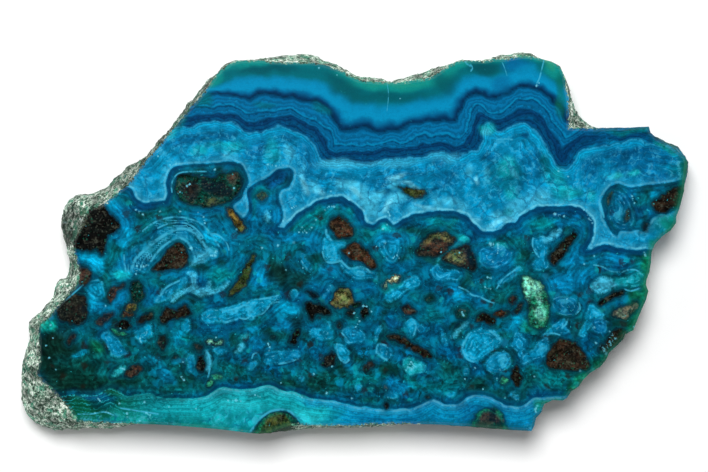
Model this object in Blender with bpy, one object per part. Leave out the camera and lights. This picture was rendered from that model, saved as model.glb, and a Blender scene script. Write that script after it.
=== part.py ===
"""A slab of chrysocolla, sawn from a vein with its rough rind left on.

The slab lies on its sawn back with the polished face up. Its outline is read from above as
pairs of points: one on the edge of the polished face, and one on the widest line of the side
below it. The side is a loft down through those pairs, rough where the rind is and chipped
where the stone broke.
"""

from math import ceil

import bmesh
import bpy
from mathutils import Vector, noise

# Driving dimensions, in metres
LENGTH = 0.101
THICKNESS = 0.008
STEP = 0.0011  # the longest stretch of edge between two stations
LUMP = 0.0024  # across one lump of the rind
RIND_RELIEF = 0.00062
BREAK_RELIEF = 0.00026
PIT = 0.0012  # across one small pit of the rind
PIT_DEPTH = 0.00026

# The side's rings from the face down: how far down as a share of the thickness, how far out
# from the face's edge to the widest line, and how much of the relief shows there.
RINGS = (
    (0.0, 0.0, 0.0),
    (0.025, 0.10, 0.1),
    (0.10, 0.34, 0.7),
    (0.20, 0.60, 1.0),
    (0.34, 0.84, 1.0),
    (0.50, 1.00, 0.0),
    (0.66, 0.97, 1.0),
    (0.82, 0.87, 1.0),
    (0.95, 0.74, 1.0),
    (1.0, 0.60, 0.6),
)

# Stations round the slab, clockwise from the lower left corner of the face, as
# (face x, face y, widest x, widest y) in pixels of the 708 x 472 picture, x right and y down.
LEFT_RIND = [
    (76, 422, 74, 431.3), (75, 418, 58, 432.6), (72, 412, 44, 430.5), (66, 405, 31, 424.5),
    (59, 398, 23, 415.5), (53, 391, 18.6, 405), (45, 384, 17.5, 393), (39, 378, 17.8, 380),
    (37, 371, 18.3, 367), (39.5, 361, 21, 354), (39, 349, 25, 344), (39, 339, 26.4, 337),
    (38, 331, 25, 329), (43, 322, 29, 320), (50, 316, 36, 313), (57, 307, 43, 305),
    (64, 300, 49.5, 297.5), (70, 292, 51.5, 288), (78, 284, 56, 281), (79, 277, 62.5, 279),
    (78.5, 269, 65.3, 270), (76, 260, 66, 259), (73.5, 250, 63.5, 248), (74, 240, 60.5, 238),
    (79, 230, 57.5, 227), (84, 219, 59, 215), (88, 211, 61.5, 205), (93, 207.5, 67, 198),
    (98, 206.5, 77, 193.7), (104, 204, 89, 192.5), (111, 198, 98, 188.5), (118, 192, 105, 185.5),
    (126, 186, 112, 176.5), (132, 180, 121, 170), (138, 171, 128, 163), (145, 162, 137, 160),
    (151, 155, 145, 154), (157, 149, 149, 148), (163, 141, 157, 140.5), (171, 131, 166, 130.5),
    (178, 123, 172, 121), (185, 114, 180, 110.5), (192, 105.5, 187, 102), (199, 97.5, 194, 95),
    (206, 89.5, 197.5, 88.5), (212, 81, 205, 80.5), (218, 72.5, 213, 73), (225, 66.5, 220, 67.3),
]
TOP_RIND = [
    (233, 62.3, 231, 62), (242, 60.3, 242, 59.6), (250, 60.5, 252, 57.3), (260, 60.2, 260, 57.5),
    (270, 61.3, 270, 55.5), (280, 62, 281, 52.8), (290, 62.3, 291, 53.1), (301, 62.3, 301, 51.4),
    (312, 62.5, 312, 54), (322, 64, 324, 58.3), (334, 68, 337, 62.5), (345, 72.5, 348, 69),
    (356, 79, 358, 74), (368, 81, 370, 75.5), (379, 82, 380, 75.7), (390, 82.5, 392, 80),
    (402, 82, 402, 76.7), (413, 80, 413, 73.8), (424, 79, 423, 70.3), (434, 75.5, 431, 67.3),
    (444, 68.5, 443, 64.5), (454, 62.5, 454, 61.3), (463, 60.3, 463, 59), (474, 60.5, 474, 58),
    (485, 61, 484, 57.7), (494, 58.8, 494, 57), (504, 59, 503, 53.7), (513, 57.8, 512, 51.8),
    (522, 56, 522, 50.6), (532, 56.3, 533, 51.5), (542, 59, 541, 56.5), (551, 61.3, 551, 60.5),
]
SHOULDER = [
    (560, 66, 560.5, 65.5), (565, 77, 567.5, 76.5), (566, 88, 572.5, 88), (569, 98, 574, 97),
    (569, 108, 577.5, 107.5), (569, 117, 583, 116),
]
LEDGE = [(569, 128, 588, 120), (583, 128, 594.5, 124.7), (597, 128.7, 600, 126.5)]
TOP_BREAK = [
    (611, 127.8, 611, 126.6), (625, 128, 625, 127.3), (637, 127, 637, 126.5),
]
FLAKED_CORNER = [
    (649, 126.6, 649.6, 126), (650.5, 132.5, 651.3, 132), (656, 137.5, 657.5, 136.3),
    (662, 141.5, 664.5, 138), (670, 146, 672, 141.8), (678, 152, 681, 144.6),
    (685, 157.5, 687.5, 154.5),
]
RIGHT_BREAK = [
    (687, 162.5, 691, 161.5), (686, 172, 690.3, 172), (684.7, 182, 688.3, 183),
    (684, 191, 686, 191.5), (681.7, 200, 682.6, 200.5), (679.3, 209, 680, 209.3),
    (676.3, 216.5, 676.8, 216.8), (676, 223, 676.4, 223.4), (671, 230, 671.4, 230.6),
    (662, 236.5, 662.4, 237), (655, 244, 655.5, 244.4), (651.5, 252, 652, 252.3),
    (651, 262, 651.4, 262), (649.5, 272, 650, 272.2), (646.3, 280.5, 646.6, 280.8),
    (646, 285.5, 646.3, 285.7), (648.4, 291, 648.9, 291), (646, 300, 646.5, 300.2),
    (641, 311, 641.5, 311.2), (636, 323, 636.5, 323.3), (633.5, 330, 634, 330.4),
    (625, 334.4, 625.4, 334.9), (623.5, 339, 624, 339.4), (616, 346.5, 616.4, 347),
    (609, 353, 609.4, 353.5), (606, 360, 606.4, 360.5), (600, 367, 600.4, 367.5),
    (590, 373, 590.3, 373.6), (583, 380, 583.4, 380.5), (578.5, 386.7, 579, 387.3),
    (571, 391.5, 571.4, 392), (567, 398, 567.4, 398.6), (562.5, 400.7, 563, 401.5),
    (553, 400, 553, 400.8), (544, 404.3, 544.5, 405), (541.5, 412, 542, 412.6),
    (536, 418, 536.6, 418.5), (534.2, 426, 534.8, 426.4),
]
BOTTOM_EDGE = [
    (531.5, 431, 532, 431.6), (519, 430.4, 519, 431), (503, 429.4, 503, 430.2),
    (487, 427.8, 487, 429), (470, 426.5, 470, 427.7), (450, 425.3, 450, 426.4),
    (430, 424.3, 430, 425.5), (409, 424, 409, 425.5), (390, 424.3, 390, 427.8),
    (372, 424.6, 372, 429.2), (352, 425.8, 352, 430.2), (335, 425.8, 335, 430),
    (318, 425.8, 318, 430.4), (302, 425.3, 302, 431.8), (290, 425.5, 290, 433),
    (281, 428.3, 280, 434), (271, 432.6, 270, 434.5), (260, 433.7, 260, 434.6),
    (249, 433, 249, 433.7), (232, 430.8, 232, 431.6), (215, 428.9, 215, 429.6),
    (195, 427.1, 195, 427.9), (175, 425.6, 175, 426.5), (155, 424.5, 155, 425.6),
    (138, 423.9, 138, 425.4), (124, 423.6, 124, 428.2), (109, 423.3, 109, 430.4),
    (92, 422.8, 92, 430.4),
]

# Each stretch with whether it is rind, which is lumpy and runs in a smooth curve. The others
# are broken or sawn, and run straight from point to point.
STRETCHES = [
    (LEFT_RIND, True), (TOP_RIND, True), (SHOULDER, False), (LEDGE, True), (TOP_BREAK, False),
    (FLAKED_CORNER, False), (RIGHT_BREAK, False), (BOTTOM_EDGE, False),
]

STONE_COLOUR = (0.010, 0.175, 0.300, 1.0)
STONE_ROUGHNESS = 0.22


def clear_scene():
    for old in list(bpy.data.objects):
        bpy.data.objects.remove(old)


def between(before, start, end, after, share, smooth):
    """A point between start and end, on a curve through all four or on the straight line."""
    if not smooth:
        return start.lerp(end, share)
    pull_in = (end - before) / 2
    pull_out = (after - start) / 2
    drop = 2 * start - 2 * end + pull_in + pull_out
    rise = 3 * end - 3 * start - 2 * pull_in - pull_out
    return start + pull_in * share + rise * share**2 + drop * share**3


def picture_scale():
    """Metres in a pixel, and the picture point that lies over the slab's middle."""
    wide = [Vector(s[2:]) for stations, _ in STRETCHES for s in stations]
    left, right = min(p.x for p in wide), max(p.x for p in wide)
    top, bottom = min(p.y for p in wide), max(p.y for p in wide)
    return LENGTH / (right - left), Vector(((left + right) / 2, (top + bottom) / 2))


def placed_stations():
    """The stations in metres as (face point, widest point, is rind), no further apart than STEP."""
    pixel, middle = picture_scale()

    def place(x, y):
        return Vector((x - middle.x, middle.y - y)) * pixel

    rows = [
        (place(*s[:2]), place(*s[2:]), rind) for stations, rind in STRETCHES for s in stations
    ]
    filled = []
    for i, (face, wide, rind) in enumerate(rows):
        before, after, later = rows[i - 1], rows[(i + 1) % len(rows)], rows[(i + 2) % len(rows)]
        smooth = rind and before[2] and after[2] and later[2]
        longest = max((after[0] - face).length, (after[1] - wide).length)
        parts = max(1, ceil(longest / STEP))
        for n in range(parts):
            share = n / parts
            filled.append((
                between(before[0], face, after[0], later[0], share, smooth),
                between(before[1], wide, after[1], later[1], share, smooth),
                rind,
            ))
    return filled


def relief(point, rind):
    """How far the rough side stands out at a point: lumps and pits on rind, chips on a break."""
    lump = noise.noise(point / LUMP)
    pit = noise.noise(point / PIT)
    return RIND_RELIEF * lump + PIT_DEPTH * pit if rind else BREAK_RELIEF * lump


def ring_points(stations, down, out, rough):
    """One ring of the side, moved in or out by the relief."""
    points = []
    for i, (face, wide, rind) in enumerate(stations):
        along = (stations[(i + 1) % len(stations)][1] - stations[i - 1][1]).normalized()
        outward = Vector((-along.y, along.x))  # the stations run clockwise from above
        flat = face.lerp(wide, out)
        height = THICKNESS * (1 - down)
        moved = flat + outward * relief(Vector((*flat, height)), rind) * rough
        points.append(Vector((*moved, height)))
    return points


def make_slab():
    """The slab as one closed solid: two flat caps and the loft between them."""
    stations = placed_stations()
    mesh = bpy.data.meshes.new("slab")
    bm = bmesh.new()
    rings = [[bm.verts.new(p) for p in ring_points(stations, *ring)] for ring in RINGS]
    bm.faces.new(rings[0])
    bm.faces.new(reversed(rings[-1]))
    for upper, lower in zip(rings, rings[1:]):
        for i in range(len(upper)):
            bm.faces.new((upper[i - 1], lower[i - 1], lower[i], upper[i]))
    bmesh.ops.recalc_face_normals(bm, faces=bm.faces)
    bm.to_mesh(mesh)
    bm.free()
    mesh.materials.append(stone_material())
    return bpy.data.objects.new("slab", mesh)


def stone_material():
    material = bpy.data.materials.new("chrysocolla")
    material.use_nodes = True
    shader = material.node_tree.nodes["Principled BSDF"]
    shader.inputs["Base Color"].default_value = STONE_COLOUR
    shader.inputs["Roughness"].default_value = STONE_ROUGHNESS
    shader.inputs["Metallic"].default_value = 0.0
    return material


def main():
    clear_scene()
    collection = bpy.data.collections.new("chrysocolla_specimen")
    bpy.context.scene.collection.children.link(collection)
    collection.objects.link(make_slab())


main()
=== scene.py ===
"""Finishes a slab of chrysocolla: its banded polished face, its rough rind and its sawn back."""

from math import cos, radians, sin

import bmesh
import bpy
import numpy as np
from bpy.props import FloatProperty, FloatVectorProperty, IntProperty, PointerProperty
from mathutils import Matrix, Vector, kdtree, noise


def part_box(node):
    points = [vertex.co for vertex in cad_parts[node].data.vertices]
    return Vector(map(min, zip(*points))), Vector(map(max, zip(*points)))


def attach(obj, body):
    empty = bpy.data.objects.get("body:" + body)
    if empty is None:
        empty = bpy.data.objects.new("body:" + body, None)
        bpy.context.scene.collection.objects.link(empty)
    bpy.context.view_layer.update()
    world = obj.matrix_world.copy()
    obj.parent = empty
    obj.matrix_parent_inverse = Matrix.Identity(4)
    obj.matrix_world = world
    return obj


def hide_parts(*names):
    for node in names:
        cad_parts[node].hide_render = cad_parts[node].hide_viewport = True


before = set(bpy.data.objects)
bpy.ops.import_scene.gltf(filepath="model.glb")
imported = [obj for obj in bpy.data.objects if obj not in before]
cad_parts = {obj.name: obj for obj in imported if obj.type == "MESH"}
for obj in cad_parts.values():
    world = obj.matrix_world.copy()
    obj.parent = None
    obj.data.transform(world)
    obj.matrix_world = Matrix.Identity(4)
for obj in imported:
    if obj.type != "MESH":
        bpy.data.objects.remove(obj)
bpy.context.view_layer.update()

bl_info = {
    "name": "Chrysocolla slab",
    "version": (1, 0, 0),
    "blender": (4, 5, 0),
    "location": "3D View > Sidebar > Chrysocolla",
    "description": "Cuts, roughens and colours a sawn and polished slab of chrysocolla",
    "category": "Object",
}

SLAB_LOW, SLAB_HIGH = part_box("slab")

# Sizes are in metres. Normals steeper than FLAT are flat faces, and points nearer than WELD are one.
FLAT = 0.999
WELD = 1e-6
SAME_PLANE = 0.0005
CREASE = 0.9
MOST_TRIANGLES = 199000
FACE_FADE, BACK_FADE = 0.0006, 0.0004
UPWARD_SHARE = 0.35
FLOOR_DROP = 0.00002
SENSOR_WIDTH = 36

# Seeds the noise that bends the pattern, so that each run gives the same pattern
NOISE_SEED = 1

# How many points of the face's edge say whether the side is rind, for its shape and its colour
SHAPE_POINTS, COLOUR_POINTS = 15, 33

# The pattern's slant with depth, across and up, how much that wavers, and how quickly
SLANT = (0.28, -0.15)
SLANT_WAVER = 0.35
SLANT_SCALE = 160

# The picture's frame: the outline's reach in it, in pixels, and the slab's true length
SLAB_LENGTH = 0.101
OUTLINE_LEFT, OUTLINE_RIGHT = 17.5, 691.0
OUTLINE_TOP, OUTLINE_BOTTOM = 50.6, 434.6
PICTURE_WIDTH, PICTURE_HEIGHT = 708, 472
PIXEL = SLAB_LENGTH / (OUTLINE_RIGHT - OUTLINE_LEFT)
PIXEL_MM = PIXEL * 1000
MIDDLE = ((OUTLINE_LEFT + OUTLINE_RIGHT) / 2, (OUTLINE_TOP + OUTLINE_BOTTOM) / 2)

# Colours, as 8-bit red, green and blue
TONES = {
    "navy": (2, 54, 95),
    "ink": (0, 34, 58),
    "deep": (0, 74, 116),
    "blue": (2, 104, 152),
    "azure": (3, 136, 182),
    "bright": (5, 155, 200),
    "sky": (62, 180, 214),
    "pale": (112, 214, 238),
    "white": (200, 240, 244),
    "teal": (1, 104, 116),
    "green_teal": (10, 140, 134),
    "turquoise": (14, 160, 172),
    "aqua": (40, 196, 208),
    "sea": (2, 82, 92),
    "moss": (4, 52, 48),
    "night": (6, 32, 28),
    "emerald": (8, 104, 78),
    "jade": (40, 150, 118),
    "mint": (100, 186, 168),
    "cream": (190, 214, 180),
    "fern": (30, 116, 90),
    "tan": (86, 88, 54),
    "ochre": (104, 96, 46),
    "olive": (48, 60, 30),
    "rust": (56, 38, 27),
    "brown": (38, 30, 23),
    "umber": (26, 22, 17),
    "black": (10, 12, 12),
    "grey": (92, 98, 84),
}

# Every line and outline below is a run of x, y, x, y and so on, in pixels of the picture.
# These are lines of growth across the upper half, left to right
TOP_LINE = [
    140, 124, 165, 108, 185, 96, 206, 84, 225, 64, 242, 58, 322, 61, 334, 65, 345, 70, 356, 76, 390, 80,
    413, 77, 434, 72, 444, 66, 454, 60, 494, 56, 522, 53, 551, 58, 566, 72, 600, 82, 700, 84,
]
NAVY_LINE = [
    140, 140, 165, 122, 185, 109, 203, 97, 212, 93, 230, 93, 247, 98.5, 253, 96, 258, 93.5, 266, 92.7,
    282, 95, 298, 97, 316, 101, 324, 104.5, 331, 113, 337, 122, 343, 130, 350, 128.5, 358, 127, 367, 126,
    374, 130.5, 381, 131.5, 390, 129, 399, 129.5, 410, 124, 422, 121, 433, 119.6, 445, 119, 455, 119.6,
    460, 109, 464, 101, 469, 95.5, 476, 92.3, 484, 94, 489, 97, 496, 97, 503, 94, 512, 89.5, 520, 85.5,
    527, 85, 534, 88, 541, 89, 548, 95, 554, 100, 562, 109, 568, 120, 600, 112, 700, 108,
]
THREAD_LINE = [
    140, 146, 165, 128, 178, 113, 190, 108, 200, 106, 211, 105.5, 222, 106, 227, 104.7, 236, 107, 243, 110,
    248, 112.8, 256, 111.5, 264, 110, 275, 109.5, 283, 108.5, 290, 109, 298, 112, 303, 115, 311, 117,
    317, 120, 324, 125, 330, 131, 333, 137, 335.5, 144.5, 345, 145, 354, 144.5, 361, 146.5, 367, 144,
    375, 144.5, 381, 143, 388, 141.7, 396, 141.5, 401, 143, 406, 142, 412, 138, 418, 133.5, 425, 132.5,
    431, 135.5, 438, 134, 446, 133.5, 451, 135, 456, 137, 462, 136, 465.5, 132, 467.5, 125, 468.5, 117,
    471, 110, 474, 105.5, 478, 103, 482, 105, 487, 110, 492, 111.5, 496, 113, 501, 110.5, 507, 108,
    510, 103, 515, 100, 522, 99, 532, 98.5, 537, 100.5, 541, 105, 547, 110.5, 551, 117, 556, 125, 560, 129,
    563, 132, 566, 137.5, 570, 134.5, 575, 131, 582, 128, 600, 124, 700, 121,
]
BAND_LINE = [
    140, 152, 160, 138, 172, 127, 187, 121, 203, 117.5, 226, 117, 238, 120, 250, 125.5, 259, 125, 271, 121,
    289, 119.6, 300, 123, 307, 126, 315, 131, 322, 139, 326, 149, 333, 156, 345, 154, 358, 153, 370, 155,
    380, 151.5, 392, 150, 405, 151, 417, 149, 428, 147, 440, 145, 448, 149.5, 458, 150.5, 466, 146,
    472, 137, 475, 128, 479, 119, 484, 117, 494, 123, 503, 122.5, 512, 118, 522, 113.5, 533, 113, 541, 121,
    548, 132, 556, 147, 562, 161, 568, 151, 576, 142, 586, 136, 598, 134.5, 615, 133, 632, 133, 650, 137,
    700, 139,
]
SKY_LINE = [
    140, 158, 152, 146, 165, 132, 176, 126.5, 190, 126, 200, 122.5, 213, 121, 230, 121.5, 238, 124.5,
    245, 130, 252, 132, 262, 130.5, 275, 126, 285, 126.3, 293, 129, 303, 135, 312, 141, 318, 148, 321, 160,
    338, 161, 350, 161.5, 358, 163.5, 367, 164.5, 376, 163.5, 382, 160, 388, 157.5, 398, 158, 410, 157.5,
    420, 156.5, 431, 153, 438, 151.5, 445, 152.5, 451, 156.5, 458, 157.5, 463, 154, 470, 151.5, 477, 149,
    481, 143, 482.5, 133, 484, 125, 488, 122.5, 493, 127, 498, 131, 507, 127.5, 516, 123.5, 524, 122.5,
    532, 127, 538, 134, 546, 145, 551, 155, 557, 166, 564, 168.5, 570, 167, 575, 157, 581, 151, 590, 146.5,
    600, 147, 612, 144, 626, 141, 641, 139.5, 655, 145, 700, 149,
]
GROWTH_LINES = [TOP_LINE, NAVY_LINE, THREAD_LINE, BAND_LINE, SKY_LINE]

# Pixels to a step of growth above the first line and below the last
BEYOND = 8.0

# Tones at steps of growth: 0 at the top line, 1 at the navy line and so on
GROWTH_TONES = [
    (0.00, "green_teal"), (0.12, "green_teal"), (0.28, "teal"), (0.44, "teal"), (0.60, "azure"),
    (0.80, "azure"), (0.88, "blue"), (0.95, "navy"), (1.04, "ink"), (1.14, "deep"), (1.40, "blue"),
    (1.70, "blue"), (1.96, "blue"), (2.15, "deep"), (2.50, "blue"), (2.78, "navy"), (3.10, "navy"),
    (3.50, "deep"), (3.70, "navy"), (3.92, "deep"), (4.12, "blue"), (4.34, "bright"), (4.70, "azure"),
]

# The scalloped edge between the pale zone above and the cemented fragments below. Its left part
# is brighter up to the point LEFT_TURN of the smoothed line
LEFT_TURN = 36
LEFT_EDGE = [
    118, 186, 127, 187, 133, 191, 135.5, 197, 140, 201.5, 147, 203.5, 157, 201.5, 166, 200.5, 168, 192,
    166, 183, 169, 174, 173, 168, 180, 165.5, 195, 164.5, 210, 163.5, 222, 162.5, 232, 162, 240, 164,
    244, 169, 247, 176, 248, 184, 244, 191, 241, 198, 235, 203, 233, 207, 236, 212, 242, 217.5, 248, 213,
    249.5, 206, 247, 198, 246.5, 193, 249, 188, 254, 184, 262, 180, 268, 176.5, 276, 171, 284, 168,
    290, 168, 293.5, 173, 292, 181, 288, 187, 281, 190, 278.5, 197, 281, 205, 283, 213, 282, 221,
    278, 227.5,
]
SCALLOPS = [
    284, 227.5, 290, 221.5, 297, 214.5, 304, 209.5, 311, 206, 317, 201.5, 325, 199, 333, 197.5, 341, 196.5,
    348, 199.5, 353, 203.5, 358, 208, 363, 213, 364.5, 219, 367.5, 223.5, 373, 225, 378, 221, 383, 219,
    388, 219.5, 393, 224.5, 398, 222, 403, 219, 409, 216.5, 414, 214.5, 421, 213, 430, 212, 438, 210.3,
    447, 211, 455, 211, 461, 213.3, 467, 216.5, 471, 221, 477, 227, 481, 231, 487, 232, 494, 231.5,
    501, 229, 505, 225, 510, 223.3, 515, 222, 520, 217, 527, 212.5, 534, 208.5, 542, 206.5, 553, 206.5,
    565, 205.7, 577, 207.3, 583, 209.5, 588, 214, 592, 219, 593.5, 226, 592.5, 236, 590, 243, 585, 250.5,
]
RIGHT_SCALLOP = [
    593, 248.5, 601, 245, 607, 244.5, 615, 247, 625, 248.7, 633, 250.3, 642, 249.3, 653, 249.8, 700, 249,
]

# The upper edge of the banded hem along the foot of the slab
HEM_EDGE = [
    30, 398, 62, 396, 72, 394.5, 83, 395, 95, 395.5, 104, 391, 112, 388, 119, 391.5, 127, 396, 140, 394,
    150, 393, 158, 396.5, 168, 398.5, 180, 398, 195, 398, 205, 396, 213, 391, 221, 387.3, 230, 388,
    240, 389.5, 250, 389, 260, 386.5, 270, 385, 278, 388.5, 286, 391, 294, 391.5, 302, 395, 312, 398.5,
    326, 399.5, 338, 401.5, 352, 405.5, 366, 407, 382, 408.5, 400, 408.5, 414, 407.5, 424, 402.5,
    433, 398.5, 441, 402, 451, 404.5, 462, 401.5, 468, 396, 477, 394.5, 489, 396.5, 498, 401, 507, 405,
    517, 406, 526, 403.5, 533, 397.5, 545, 396.5, 560, 396, 700, 390,
]

# The hem starts below HEM_TOP. Its tones, by pixels across the picture
HEM_TOP = 380
HEM_TONES = [
    (40, "night"), (88, "moss"), (118, "emerald"), (160, "teal"), (195, "green_teal"),
    (235, "turquoise"), (305, "turquoise"), (345, "azure"), (425, "blue"), (560, "blue"),
]

# Closed edges: a zone of fragments at the right, and a half dome in the hem
RIGHT_ISLAND = [
    601, 204, 603, 196, 608, 188.5, 614, 184.5, 620, 184, 628, 187, 640, 186.5, 652, 184.5, 664, 184,
    675, 182, 694, 178, 690, 195, 680, 206, 668, 213.5, 658, 214.5, 652, 219, 647, 227, 643, 232, 639, 230,
    630, 231, 621, 231, 617, 236, 612, 233, 607, 224, 603, 214,
]
HALF_DOME = [
    247, 438, 250, 433, 254, 427.5, 258, 420.5, 264, 415.5, 271, 411.5, 280, 410, 288, 411, 294, 415,
    298, 420.5, 301, 427, 303, 438,
]

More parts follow.
